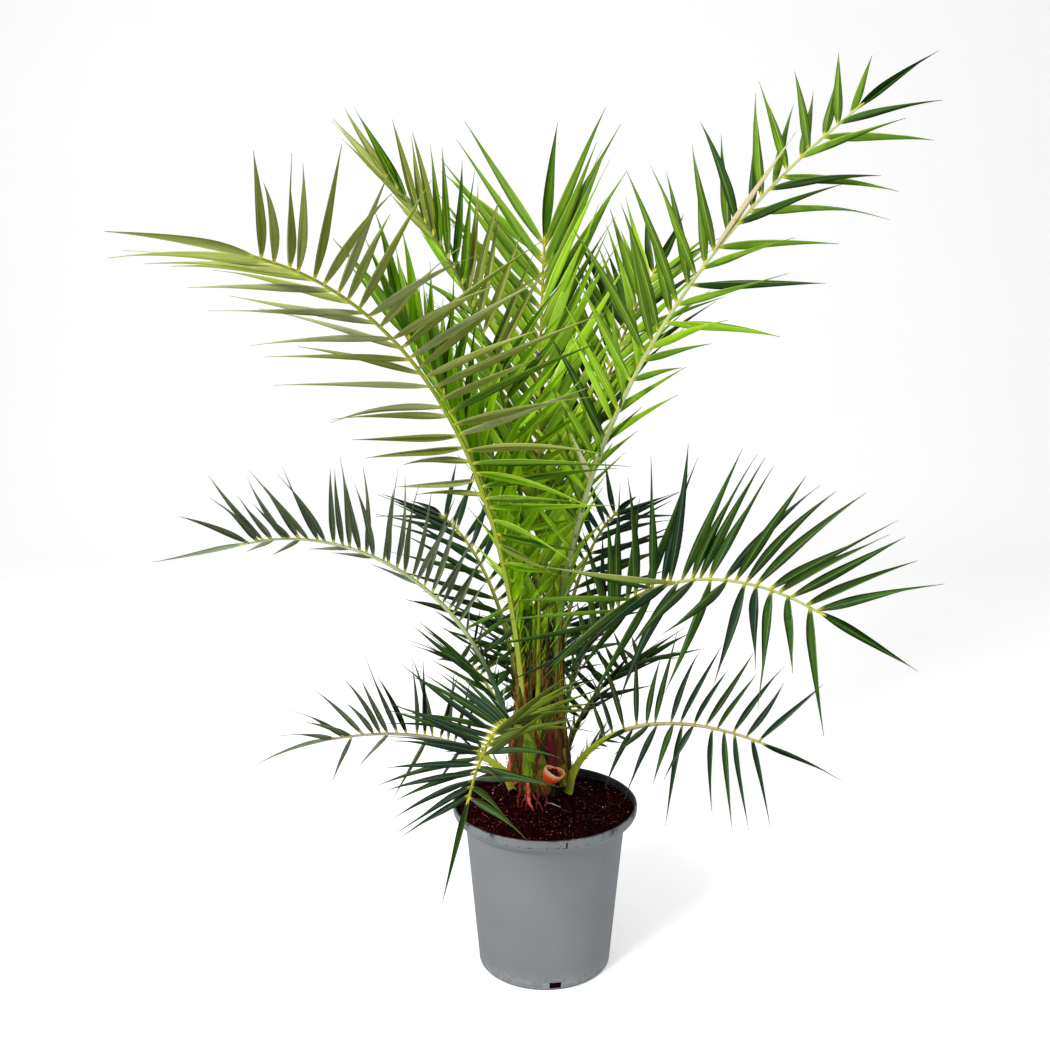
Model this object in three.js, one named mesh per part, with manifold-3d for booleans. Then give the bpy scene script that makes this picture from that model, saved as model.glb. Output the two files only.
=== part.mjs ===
// A young date palm in a plain grey nursery pot.
// Millimetres, +Z up. The origin is the centre of the pot's flat underside.
// The palm's broad side faces -Y. Turns are measured from +X towards +Y.

import * as THREE from 'three';
import { mergeVertices } from 'three/addons/utils/BufferGeometryUtils.js';
import Module from 'manifold-3d';

const wasm = await Module();
wasm.setup();

const GAP = 0.3;
const WELD = 1e-4;
const SEGMENTS_ROUND = 40;

const POT_GREY = 0x8c9296;
const SOIL_BROWN = 0x24100c;
const FIBRE_BROWN = 0x6a4326;
const UPPER_GREEN = 0x6f8f2a;
const LOWER_GREEN = 0x2f5130;

// Makes the repeatable random numbers.
const RANDOM = { spread: 2654435761, step: 1664525, shift: 1013904223, range: 2 ** 32 };

// Pot: a round, slightly tapered shell with a flared rim and an upright lip.
const POT_HEIGHT = 222;
const POT_WALL = 2.6;
const POT_FLOOR = 3;
const POT_FOOT_RADIUS = 84;
const POT_FOOT_CHAMFER = 2.5;
const POT_BELLY = { radius: 100, height: 155 };
const POT_NECK = { radius: 104, height: 197 };
const POT_FLARE = { radius: 114, height: 203 };
const POT_LIP_RADIUS = 120;
const POT_LIP_DEPTH = 13;
const POT_LIP_WALL = 3.4;
const POT_SHOULDER_RISE = 2;
const POT_NECK_RISE = 1;

// Drainage slots through the wall, just above the pot's floor.
const SLOT_COUNT = 4;
const SLOT_DEPTH = 11;
const SLOT_WIDTH = 15;
const SLOT_BOTTOM = 3.5;
const SLOT_HEIGHT = 8.5;
const SLOT_FIRST_TURN = -81.6;

// Soil: fills the pot to just below its rim, and is heaped up round the palm.
const SOIL_EDGE_HEIGHT = 212;
const SOIL_HEAP_HEIGHT = 226;
const SOIL_HEAP_TOP = 46;
const SOIL_HEAP_FOOT = 68;

// Trunk: a short stem of old leaf bases that flares at its foot, stands
// behind the middle of the pot and leans forward. Flat at both ends.
const TRUNK_FOOT = SOIL_HEAP_HEIGHT + GAP;
const TRUNK_FOOT_PLACE = { x: -6, y: 33 };
const TRUNK_LEAN = { x: -0.02, y: -0.17 };
const TRUNK_SIDES = 18;
const TRUNK_PROFILE = [
  [37, TRUNK_FOOT],
  [41, 238],
  [40, 256],
  [37, 280],
  [33, 305],
  [28, 328],
  [19, 352],
  [12, 375],
];
const STUBS = [
  { turn: 284, height: 236, length: 56, radius: 13, tip: 8, tilt: 50 },
  { turn: 224, height: 238, length: 50, radius: 8, tip: 5, tilt: 72 },
  { turn: 118, height: 240, length: 52, radius: 10, tip: 6, tilt: 60 },
];
const STUB_SIDES = 7;

// Rachis: the frond's stalk, a three-sided rod that tapers along its curve.
const RACHIS_STEPS = 14;
const RACHIS_TIP_RADIUS = 2.4;
const RACHIS_TAPER = 1.5;

// Leaflets: flat three-sided blades, narrow at the root, widest before the
// middle and drawn out to a needle tip.
const LEAF_WIDTH = 13.5;
const LEAF_THICK = 2.3;
const LEAF_WIDEST = 0.32;
const LEAF_ROOT = 0.2;
const LEAF_TWIST = 28;
const LEAF_LONGEST = 0.4;
const LEAF_FIRST = 0.45;
const LEAF_JITTER = { angle: 7, vee: 8, length: 0.08 };
const LEAF_GROWTH = 2;
const LEAF_FADE = 1.5;
const SHORT_LEAF = { length: 150, width: 0.7 };
const LEAF_STAGGER = 0.2;
const LAST_LEAF_SINK = 8;
const LEAF_LAST = 0.9;
// The side and height of a triangle whose corners lie on a circle of radius 1.
const TRIANGLE = { side: Math.sqrt(3), height: 1.5 };
const TEST_MARGIN = 0.8;
const TEST_ROOT = 0.16;
const TURN_TRIES = [0, 6, -6, 12, -12, 18, -18, 25, -25];
const LENGTH_TRIES = [1, 0.75];

// Fronds. Each starts at its seat inside the trunk and heads outward.
//   seat: turn and radius about the trunk's axis, and height
//   heading, sweep: compass turn at the foot, and its change to the tip
//   rise, fall, bend: slope at the foot and at the tip, and how late it falls
//   roll: twist of the blade about the rachis, at the foot and at the tip
//   tip: length of the last leaflets beside the longest; a side may have its own
//   wide: leaflet width beside the usual
//   ranks: how far leaflets lean up and down by turns, out of their row
//   split: where a frond that arches over is made in two, inner and outer
//   left, right: each side's leaflets, by these five:
//   vee, lift above the blade's plane, and angle, to the rachis, both at the
//   first leaflet and at the last; longest; bare, the leafless share; count
const FRONDS = [
  {
    name: 'frond_01_front_left', seat: [222, 21, 305], heading: 234, sweep: -1, rise: 83,
    fall: 11, bend: 1.55, length: 805, radius: 8, roll: [-16, 9], tip: 0.8, wide: 0.8, ranks: 5,
    left: { vee: [-9, 17], angle: [89, 54], longest: 228, bare: 0.3, count: 24, tip: 0.68 },
    right: { vee: [-12, 10], angle: [93, 66], longest: 190, bare: 0.42, count: 17 },
  },
  {
    name: 'frond_02_back_left', seat: [132, 21, 305], heading: 142, sweep: 22, rise: 91,
    fall: 44, bend: 1.9, length: 757, radius: 8, roll: [80, 55], tip: 0.8, wide: 0.85, ranks: 9,
    left: { vee: [30, 40], angle: [76, 13], longest: 140, bare: 0.32, count: 21 },
    right: { vee: [18, 38], angle: [80, 21], longest: 166, bare: 0.32, count: 21 },
  },
  {
    name: 'frond_03_centre', seat: [0, 0, 372], heading: 92, sweep: -8, rise: 84,
    fall: 62, bend: 0.9, length: 595, radius: 6.5, roll: [12, -8], tip: 1, wide: 1.15, ranks: 11,
    left: { vee: [18, 12], angle: [34, 40], longest: 205, bare: 0.12, count: 22 },
    right: { vee: [18, 12], angle: [34, 28], longest: 200, bare: 0.12, count: 22 },
  },
  {
    name: 'frond_04_front_right', seat: [330, 21, 305], heading: 317, sweep: 33, rise: 91,
    fall: 39, bend: 1.05, length: 875, radius: 8, roll: [54, 31], tip: 0.58, wide: 0.85, ranks: 8,
    left: { vee: [20, 8], angle: [68, 62], longest: 190, bare: 0.28, count: 26 },
    right: { vee: [-14, 4], angle: [52, 56], longest: 180, bare: 0.54, count: 14, tip: 0.9 },
  },
  {
    name: 'frond_05_back_right', seat: [26, 21, 305], heading: 56, sweep: -5, rise: 88,
    fall: 44, bend: 1.3, length: 650, radius: 8, roll: [-10, 10], tip: 0.65, wide: 1, ranks: 11,
    left: { vee: [15, 15], angle: [46, 36], longest: 190, bare: 0.26, count: 20 },
    right: { vee: [15, 15], angle: [50, 40], longest: 160, bare: 0.5, count: 12 },
  },
  {
    name: 'frond_06_inner_left', seat: [176, 21, 305], heading: 182, sweep: 5, rise: 90,
    fall: 55, bend: 1.25, length: 560, radius: 8, roll: [8, 12], tip: 0.8, wide: 1.1, ranks: 11,
    left: { vee: [20, 20], angle: [52, 38], longest: 180, bare: 0.28, count: 17 },
    right: { vee: [20, 20], angle: [44, 34], longest: 185, bare: 0.28, count: 17 },
  },
  {
    name: 'frond_07_middle_left', seat: [186, 30, 264], heading: 192, sweep: -8,
    rise: 80, fall: -12, bend: 1.41, length: 513, radius: 7, roll: [56, 32], tip: 0.85,
    wide: 0.68, split: 0.55, ranks: 5,
    left: { vee: [19, 7], angle: [66, 75], longest: 149, bare: 0.4, count: 18 },
    right: { vee: [20, 11], angle: [64, 66], longest: 105, bare: 0.36, count: 9 },
  },
  {
    name: 'frond_08_middle_right', seat: [344, 30, 268], heading: 305, sweep: 20,
    rise: 90, fall: -22, bend: 1.1, length: 542, radius: 7, roll: [41, 39], tip: 0.8,
    wide: 0.85, split: 0.52, ranks: 7,
    left: { vee: [18, 43], angle: [84, 48], longest: 166, bare: 0.3, count: 19 },
    right: { vee: [22, 44], angle: [105, 57], longest: 190, bare: 0.4, count: 15 },
  },
  {
    name: 'frond_09_middle_back_left', seat: [128, 30, 262], heading: 118, sweep: 5,
    rise: 82, fall: 10, bend: 1.3, length: 400, radius: 7, roll: [-15, -15], tip: 0.7, wide: 0.8,
    ranks: 10,
    left: { vee: [22, 22], angle: [70, 46], longest: 140, bare: 0.28, count: 13 },
    right: { vee: [22, 22], angle: [70, 46], longest: 140, bare: 0.28, count: 13 },
  },
  {
    name: 'frond_10_middle_back_right', seat: [64, 30, 262], heading: 68, sweep: -5,
    rise: 82, fall: 10, bend: 1.3, length: 400, radius: 7, roll: [15, 15], tip: 0.7, wide: 0.8,
    ranks: 10,
    left: { vee: [22, 22], angle: [70, 46], longest: 140, bare: 0.28, count: 13 },
    right: { vee: [22, 22], angle: [70, 46], longest: 140, bare: 0.28, count: 13 },
  },
  {
    name: 'frond_11_low_right', seat: [334, 41, 229], heading: 317, sweep: 11,
    rise: 90, fall: -10, bend: 0.57, length: 333, radius: 7.5, roll: [48, 61], tip: 0.85,
    wide: 0.58, split: 0.42, ranks: 6,
    left: { vee: [53, 51], angle: [65, 55], longest: 136, bare: 0.3, count: 13 },
    right: { vee: [46, 44], angle: [88, 55], longest: 144, bare: 0.42, count: 11 },
  },
  {
    name: 'frond_12_low_front', seat: [248, 24, 292], heading: 251, sweep: 9,
    rise: 64, fall: -26, bend: 0.71, length: 319, radius: 6.5, roll: [-22, 19], tip: 0.8,
    wide: 0.62, split: 0.42, ranks: 6,
    left: { vee: [30, 33], angle: [78, 49], longest: 169, bare: 0.3, count: 16 },
    right: { vee: [31, 37], angle: [101, 36], longest: 130, bare: 0.34, count: 19 },
  },
  {
    name: 'frond_13_low_left', seat: [198, 37, 232], heading: 205, sweep: -10,
    rise: 75, fall: -5, bend: 0.53, length: 272, radius: 7, roll: [92, 42], tip: 0.85,
    wide: 0.55, split: 0.42, ranks: 6,
    left: { vee: [10, 5], angle: [73, 58], longest: 127, bare: 0.34, count: 12 },
    right: { vee: [-5, 1], angle: [98, 73], longest: 110, bare: 0.36, count: 4 },
  },
  {
    name: 'frond_14_low_back', seat: [92, 36, 232], heading: 92, sweep: 0,
    rise: 74, fall: -15, bend: 0.8, length: 320, radius: 7, roll: [0, 0], tip: 0.75,
    wide: 0.75, split: 0.42, ranks: 10,
    left: { vee: [22, 22], angle: [80, 46], longest: 125, bare: 0.26, count: 12 },
    right: { vee: [22, 22], angle: [80, 46], longest: 125, bare: 0.26, count: 12 },
  },
  {
    name: 'frond_15_low_back_right', seat: [38, 36, 234], heading: 50, sweep: -4,
    rise: 76, fall: -10, bend: 0.9, length: 250, radius: 7, roll: [-10, -15], tip: 0.75,
    wide: 0.75, split: 0.45, ranks: 10,
    left: { vee: [22, 22], angle: [80, 46], longest: 112, bare: 0.28, count: 11 },
    right: { vee: [22, 22], angle: [80, 46], longest: 105, bare: 0.28, count: 11 },
  },
  {
    name: 'frond_16_low_back_left', seat: [146, 36, 234], heading: 116, sweep: 4,
    rise: 76, fall: -10, bend: 0.9, length: 235, radius: 7, roll: [10, 15], tip: 0.75,
    wide: 0.75, split: 0.45, ranks: 10,
    left: { vee: [22, 22], angle: [80, 46], longest: 105, bare: 0.28, count: 10 },
    right: { vee: [22, 22], angle: [80, 46], longest: 112, bare: 0.28, count: 10 },
  },
];
const UPPER_FRONDS = 6;

function radians(degrees) {
  return THREE.MathUtils.degToRad(degrees);
}

function between(start, end, t) {
  return start + (end - start) * t;
}

// Repeatable random numbers from 0 to 1, a new row of them for each seed.
function randomNumbers(seed) {
  let state = (seed * RANDOM.spread) % RANDOM.range;
  return () => {
    state = (state * RANDOM.step + RANDOM.shift) % RANDOM.range;
    return state / RANDOM.range;
  };
}

function plastic() {
  return new THREE.MeshStandardMaterial({ color: POT_GREY, roughness: 0.5, metalness: 0 });
}

function earth() {
  return new THREE.MeshStandardMaterial({ color: SOIL_BROWN, roughness: 1, metalness: 0 });
}

function fibre() {
  return new THREE.MeshStandardMaterial({ color: FIBRE_BROWN, roughness: 0.95, metalness: 0 });
}

function foliage(color) {
  return new THREE.MeshStandardMaterial({ color, roughness: 0.5, metalness: 0 });
}

// Joining and cutting work on plain closed solids.
function toSolid(geometry) {
  geometry.deleteAttribute('normal');
  geometry.deleteAttribute('uv');
  const merged = mergeVertices(geometry, WELD);
  return new wasm.Manifold(new wasm.Mesh({
    numProp: 3,
    vertProperties: new Float32Array(merged.attributes.position.array),
    triVerts: new Uint32Array(merged.index.array),
  }));
}

function toMesh(solid, name, material) {
  const faces = solid.getMesh();
  const geometry = new THREE.BufferGeometry();
  geometry.setAttribute('position', new THREE.BufferAttribute(faces.vertProperties, 3));
  geometry.setIndex(new THREE.BufferAttribute(faces.triVerts, 1));
  const mesh = new THREE.Mesh(geometry, material);
  mesh.name = name;
  return mesh;
}

// A lathe turned about +Z from points of radius and height.
function turned(points, segments) {
  const profile = points.map(([radius, height]) => new THREE.Vector2(radius, height));
  const geometry = new THREE.LatheGeometry(profile, segments);
  geometry.rotateX(Math.PI / 2);
  return geometry;
}

function potOuter() {
  return [
    [0, 0],
    [POT_FOOT_RADIUS, 0],
    [POT_FOOT_RADIUS + POT_FOOT_CHAMFER, POT_FOOT_CHAMFER],
    [POT_BELLY.radius, POT_BELLY.height],
    [POT_NECK.radius, POT_NECK.height],
    [POT_FLARE.radius, POT_FLARE.height],
    [POT_LIP_RADIUS, POT_HEIGHT - POT_LIP_DEPTH],
    [POT_LIP_RADIUS, POT_HEIGHT],
  ];
}

// The inner wall, grown inwards by an extra clearance for the soil.
function potInner(clearance) {
  const inset = POT_WALL + clearance;
  return [
    [POT_LIP_RADIUS - POT_LIP_WALL - clearance, POT_HEIGHT],
    [POT_LIP_RADIUS - POT_LIP_WALL - clearance, POT_HEIGHT - POT_LIP_DEPTH + POT_SHOULDER_RISE],
    [POT_FLARE.radius - inset, POT_FLARE.height + POT_SHOULDER_RISE],
    [POT_NECK.radius - inset, POT_NECK.height + POT_NECK_RISE],
    [POT_BELLY.radius - inset, POT_BELLY.height],
    [POT_FOOT_RADIUS + POT_FOOT_CHAMFER - inset, POT_FLOOR + clearance],
    [0, POT_FLOOR + clearance],
  ];
}

function makePot() {
  let shell = toSolid(turned([...potOuter(), ...potInner(0)], SEGMENTS_ROUND));
  for (let i = 0; i < SLOT_COUNT; i += 1) {
    const slot = new THREE.BoxGeometry(SLOT_DEPTH, SLOT_WIDTH, SLOT_HEIGHT);
    slot.translate(POT_FOOT_RADIUS + POT_WALL, 0, SLOT_BOTTOM + SLOT_HEIGHT / 2);
    slot.rotateZ(radians(SLOT_FIRST_TURN + (i * 360) / SLOT_COUNT));
    shell = shell.subtract(toSolid(slot));
  }
  return toMesh(shell, 'pot', plastic());
}

// Soil up to its own height, following the inner wall with a small gap, and
// a low heap round the palm's foot.
function soilSolid() {
  const wall = potInner(GAP).filter(([, height]) => height < SOIL_EDGE_HEIGHT);
  const edge = POT_LIP_RADIUS - POT_LIP_WALL - GAP;
  const profile = [
    [0, POT_FLOOR + GAP],
    ...wall.reverse().slice(1),
    [edge, SOIL_EDGE_HEIGHT],
    [0, SOIL_EDGE_HEIGHT],
  ];
  const rise = SOIL_HEAP_HEIGHT - SOIL_EDGE_HEIGHT;
  const heap = new THREE.CylinderGeometry(SOIL_HEAP_TOP, SOIL_HEAP_FOOT, rise, SEGMENTS_ROUND);
  heap.rotateX(Math.PI / 2);
  heap.translate(TRUNK_FOOT_PLACE.x, TRUNK_FOOT_PLACE.y, SOIL_HEAP_HEIGHT - rise / 2);
  return toSolid(turned(profile, SEGMENTS_ROUND)).add(toSolid(heap));
}

// The middle of the leaning trunk at a height.
function trunkMiddle(height) {
  const climb = height - TRUNK_FOOT;
  return new THREE.Vector3(
    TRUNK_FOOT_PLACE.x + TRUNK_LEAN.x * climb,
    TRUNK_FOOT_PLACE.y + TRUNK_LEAN.y * climb,
    height,
  );
}

function leaned(geometry) {
  const start = trunkMiddle(0);
  geometry.applyMatrix4(new THREE.Matrix4().set(
    1, 0, TRUNK_LEAN.x, start.x,
    0, 1, TRUNK_LEAN.y, start.y,
    0, 0, 1, 0,
    0, 0, 0, 1,
  ));
  return geometry;
}

// The trunk's body, grown all round where it serves to cut its neighbours.
function trunkCore(grow) {
  const side = TRUNK_PROFILE.map(([radius, height]) => [radius + grow, height]);
  const [lowRadius, lowHeight] = side[0];
  const [topRadius, topHeight] = side[side.length - 1];
  const profile = [
    [0, lowHeight - grow],
    [lowRadius, lowHeight - grow],
    ...side.slice(1, -1),
    [topRadius, topHeight + grow],
    [0, topHeight + grow],
  ];
  return toSolid(leaned(turned(profile, TRUNK_SIDES)));
}

// The cut-off base of an old leaf, leaning out of the trunk's foot.
function stub(part, grow) {
  const length = part.length + grow;
  const rod = new THREE.CylinderGeometry(part.tip + grow, part.radius + grow, length, STUB_SIDES);
  rod.translate(0, length / 2, 0);
  rod.rotateX(Math.PI / 2);
  rod.rotateY(radians(part.tilt));
  rod.rotateZ(radians(part.turn));
  const middle = trunkMiddle(part.height);
  rod.translate(middle.x, middle.y, middle.z);
  return toSolid(rod);
}

function trunkSolid(grow) {
  return STUBS.reduce((whole, part) => whole.add(stub(part, grow)), trunkCore(grow));
}

// The frond's axes at t: along, to the left and above the blade.
function station(frond, t) {
  const slope = radians(between(frond.rise, frond.fall, t ** frond.bend));
  const turn = radians(frond.heading + frond.sweep * t);
  const along = new THREE.Vector3(
    Math.cos(slope) * Math.cos(turn),
    Math.cos(slope) * Math.sin(turn),
    Math.sin(slope),
  );
  const roll = radians(between(frond.roll[0], frond.roll[1], t));
  const left = new THREE.Vector3(-Math.sin(turn), Math.cos(turn), 0).applyAxisAngle(along, roll);
  const above = new THREE.Vector3().crossVectors(along, left);
  return { along, left, above };
}

// Points of the rachis's centre line, by small steps from the seat.
function centreLine(frond, steps) {
  const [turn, radius, height] = frond.seat;
  const point = trunkMiddle(height);
  point.x += radius * Math.cos(radians(turn));
  point.y += radius * Math.sin(radians(turn));
  const points = [point.clone()];
  for (let i = 0; i < steps; i += 1) {
    const { along } = station(frond, (i + 0.5) / steps);
    point.addScaledVector(along, frond.length / steps);
    points.push(point.clone());
  }
  return points;
}

function pointAt(points, t) {
  const place = Math.min(Math.max(t, 0), 1) * (points.length - 1);
  const first = Math.min(Math.floor(place), points.length - 2);
  return points[first].clone().lerp(points[first + 1], place - first);
}

function rachisRadius(frond, t) {
  return between(RACHIS_TIP_RADIUS, frond.radius, (1 - t) ** RACHIS_TAPER);
}

// A three-sided cylinder bent onto a length of the centre line and tapered.
function rachisSolid(frond, points, from, to) {
  const steps = Math.ceil((to - from) * RACHIS_STEPS);
  const rod = new THREE.CylinderGeometry(1, 1, 1, 3, steps);
  const corners = rod.attributes.position;
  for (let i = 0; i < corners.count; i += 1) {
    const t = between(from, to, corners.getY(i) + 0.5);
    const { left, above } = station(frond, t);
    const radius = rachisRadius(frond, t);
    const place = pointAt(points, t)
      .addScaledVector(left, -corners.getX(i) * radius)
      .addScaledVector(above, corners.getZ(i) * radius);
    corners.setXYZ(i, place.x, place.y, place.z);
  }
  return toSolid(rod);
}

// A leaflet's length beside the longest one, u running over the leafy part.
function leafShare(u, tip) {
  if (u < LEAF_LONGEST) {
    return 1 - (1 - LEAF_FIRST) * (1 - u / LEAF_LONGEST) ** LEAF_GROWTH;
  }
  return 1 - (1 - tip) * ((u - LEAF_LONGEST) / (1 - LEAF_LONGEST)) ** LEAF_FADE;
}

// A three-sided blade from near the root, along a direction, keel downwards.
function bladeSolid(leaf, grow, start) {
  const rootShare = between(LEAF_ROOT, 1, Math.max(start, 0) / LEAF_WIDEST);
  const profile = [
    new THREE.Vector2(0, start * leaf.length),
    new THREE.Vector2(rootShare, start * leaf.length),
    new THREE.Vector2(1, LEAF_WIDEST * leaf.length),
    new THREE.Vector2(0, leaf.length + grow),
  ];
  const blade = new THREE.LatheGeometry(profile, 3);
  blade.scale((leaf.width + grow) / TRIANGLE.side, 1, (LEAF_THICK + grow) / TRIANGLE.height);
  const across = leaf.along.clone().projectOnPlane(leaf.direction).normalize();
  across.multiplyScalar(-leaf.side);
  across.applyAxisAngle(leaf.direction, radians(LEAF_TWIST) * leaf.side);
  const keel = new THREE.Vector3().crossVectors(across, leaf.direction);
  blade.applyMatrix4(new THREE.Matrix4().makeBasis(across, leaf.direction, keel));
  blade.translate(leaf.root.x, leaf.root.y, leaf.root.z);
  return toSolid(blade);
}

function leafDirection(axes, side, angle, vee) {
  const out = axes.left.clone().multiplyScalar(side * Math.cos(radians(vee)));
  out.addScaledVector(axes.above, Math.sin(radians(vee)));
  return axes.along.clone().multiplyScalar(Math.cos(radians(angle)))
    .addScaledVector(out, Math.sin(radians(angle)));
}

// A leaflet's full width: short leaflets are a little narrower.
function leafWidth(frond, length) {
  const share = between(SHORT_LEAF.width, 1, length / SHORT_LEAF.length);
  return LEAF_WIDTH * frond.wide * Math.min(1, share);
}

// All the leaflets that a frond wants: a row on each side and one at its tip.
function wantedLeaflets(frond, seed, points) {
  const random = randomNumbers(seed);
  const spread = (size) => (random() * 2 - 1) * size;
  const wanted = [];
  for (const side of [1, -1]) {
    const row = side > 0 ? frond.left : frond.right;
    const { vee, angle, longest, bare, count, tip } = { tip: frond.tip, ...row };
    for (let k = 0; k < count; k += 1) {
      const u = (k + 0.5 + LEAF_STAGGER * side) / count;
      const turn = between(angle[0], angle[1], u) + spread(LEAF_JITTER.angle);
      const rank = k % 2 === 0 ? frond.ranks : -frond.ranks;
      const lift = between(vee[0], vee[1], u) + rank + spread(LEAF_JITTER.vee);
      const length = longest * leafShare(u, tip) * (1 + spread(LEAF_JITTER.length));
      wanted.push({ t: between(bare, 1, u), side, angle: turn, lift, length });
    }
  }
  const last = frond.left.longest * frond.tip * LEAF_LAST;
  wanted.push({ t: 1, side: 1, angle: 0, lift: 0, length: last });
  return wanted.map((leaf) => ({
    ...leaf,
    root: pointAt(points, leaf.t),
    width: leafWidth(frond, leaf.length),
  }));
}

function boxesMeet(a, b) {
  return [0, 1, 2].every((i) => a.min[i] <= b.max[i] && b.min[i] <= a.max[i]);
}

function meets(solid, others) {
  const box = solid.boundingBox();
  return others.some((other) => boxesMeet(box, other.box)
    && !solid.intersect(other.solid).isEmpty());
}

function boxed(solid) {
  return { solid, box: solid.boundingBox() };
}

// Turns or shortens a leaflet until it clears the other fronds, all along,
// and its own frond past its root. Gives none if it can't.
function clearLeaflet(frond, leaf, others, own) {
  const axes = station(frond, leaf.t);
  for (const share of LENGTH_TRIES) {
    for (const turn of TURN_TRIES) {
      const direction = leafDirection(axes, leaf.side, leaf.angle, leaf.lift + turn);
      const along = leaf.t < 1 ? axes.along : axes.left;
      const trial = { ...leaf, direction, along, length: leaf.length * share };
      const clear = !meets(bladeSolid(trial, TEST_MARGIN, 0), others)
        && !meets(bladeSolid(trial, TEST_MARGIN, TEST_ROOT), own);
      if (clear) {
        return trial;
      }
    }
  }
  return null;
}

// A leaflet's whole blade from the rachis's centre line. The one at the tip
// starts further back, inside the rachis.
function wholeBlade(leaf) {
  return bladeSolid(leaf, 0, leaf.t < 1 ? 0 : -LAST_LEAF_SINK / leaf.length);
}

// A frond's own lengths: the whole of it, or an inner and an outer part that
// meet end to end with a small gap.
function frondParts(frond, index) {
  const points = centreLine(frond, RACHIS_STEPS);
  const whole = { frond, index, points };
  if (!frond.split) {
    return [{ ...whole, name: frond.name, from: 0, to: 1 }];
  }
  const next = frond.split + GAP / frond.length;
  return [
    { ...whole, name: `${frond.name}_inner`, from: 0, to: frond.split },
    { ...whole, name: `${frond.name}_outer`, from: next, to: 1 },
  ];
}

// One part of a frond: its rachis with every leaflet that finds room.
function frondSolid(part, obstacles) {
  const own = [];
  let whole = part.rod;
  for (const leaf of wantedLeaflets(part.frond, part.index + 1, part.points)) {
    const here = leaf.t >= part.from && leaf.t <= part.to;
    const clear = here && clearLeaflet(part.frond, leaf, obstacles, own);
    if (clear) {
      own.push(boxed(bladeSolid(clear, 0, TEST_ROOT)));
      whole = whole.add(wholeBlade(clear));
    }
  }
  return whole;
}

// Every rachis is laid out first, so that leaflets can keep clear of them all.
function makeFronds(trunk) {
  const cutter = trunkSolid(GAP);
  const parts = FRONDS.flatMap(frondParts);
  for (const part of parts) {
    part.rod = rachisSolid(part.frond, part.points, part.from, part.to).subtract(cutter);
  }
  const done = [boxed(trunk)];
  return parts.map((part) => {
    const otherRods = parts.filter((other) => other !== part).map((other) => boxed(other.rod));
    const solid = frondSolid(part, [...otherRods, ...done]);
    done.push(boxed(solid));
    const color = part.index < UPPER_FRONDS ? UPPER_GREEN : LOWER_GREEN;
    return toMesh(solid, part.name, foliage(color));
  });
}

const group = new THREE.Group();
const trunk = trunkSolid(0);
group.add(makePot());
group.add(toMesh(soilSolid(), 'soil', earth()));
group.add(toMesh(trunk, 'trunk', fibre()));
makeFronds(trunk).forEach((mesh) => group.add(mesh));

export default group;
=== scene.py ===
# A young date palm in a grey nursery pot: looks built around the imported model.
# The scene is in metres, +Z up, from the centre of the pot's flat underside. The
# palm's broad side faces -Y. Turns are measured from +X towards +Y. The sizes in
# these tables are in millimetres and degrees unless they say otherwise.

from math import ceil, cos, hypot, pi, radians, sin, sqrt, tan

import bpy
import numpy as np
from mathutils import Matrix, Vector, noise

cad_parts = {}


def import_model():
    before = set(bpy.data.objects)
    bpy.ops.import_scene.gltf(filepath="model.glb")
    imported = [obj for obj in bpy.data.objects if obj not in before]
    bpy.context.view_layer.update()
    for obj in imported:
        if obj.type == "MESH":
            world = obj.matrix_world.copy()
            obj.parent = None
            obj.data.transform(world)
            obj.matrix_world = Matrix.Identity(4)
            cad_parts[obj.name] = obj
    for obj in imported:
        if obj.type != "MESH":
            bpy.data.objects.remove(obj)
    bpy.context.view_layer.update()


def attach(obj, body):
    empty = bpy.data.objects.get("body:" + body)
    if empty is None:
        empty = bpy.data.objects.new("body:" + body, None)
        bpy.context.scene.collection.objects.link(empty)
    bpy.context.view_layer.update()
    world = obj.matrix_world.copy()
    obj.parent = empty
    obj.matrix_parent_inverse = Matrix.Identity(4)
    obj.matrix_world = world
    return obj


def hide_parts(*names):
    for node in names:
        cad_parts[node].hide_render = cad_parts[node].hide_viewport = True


MM = 0.001

# Camera: the photograph's place, tilt and lens.
CAMERA_PLACE = (-0.026, -1.567, 0.923)
CAMERA_PITCH = 12
CAMERA_LENS = 44.06
CAMERA_SENSOR = 36

# Studio, in metres: the white surroundings' light and how bright they show, the
# floor's own light, which only shows, and each lamp's place, target, size and
# power.
WORLD_GLOW = 0.34
WORLD_SEEN = 0.94
FLOOR_GLOW = 0.37
LAMPS = {
    "key": ((-1.5, -2.1, 2.3), (0, 0, 0.6), 0.9, 104),
    "fill": ((1.8, -1.7, 1.2), (0, 0, 0.5), 1.6, 20),
    "top": ((0.2, 0.6, 2.7), (0, 0, 0.5), 1.4, 20),
}

# Backdrop in metres: a floor that sweeps up into a wall.
FLOOR_FRONT = -3.9
FLOOR_BACK = 2.2
FLOOR_SIDE = 4.2
SWEEP_RADIUS = 1.6
WALL_TOP = 6

# Pot profile, radius and height, from the foot to the lip; how far its corners
# are rounded, its longest strip and its number of sides.
POT_HEIGHT = 222
POT_MIDDLE = 0.02
POT_FOOT_RADIUS = 84
POT_FOOT_BEVEL = 2.5
POT_WALL = 2.6
POT_FLOOR = 3
POT_BELLY = (100, 155)
POT_NECK = (104, 197)
POT_FLARE = (114, 203)
POT_FLARE_OUTSIDE = [(108.5, 201.5), (114, 205.3), (117.8, 208.6)]
POT_LIP_RADIUS = 120
POT_LIP_FOOT = 213.5
POT_LIP_FOOT_INSIDE = 211
POT_LIP_WALL = 3.4
POT_CORNER = 1.6
POT_STRIP = 9
POT_SEGMENTS = 192

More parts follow.
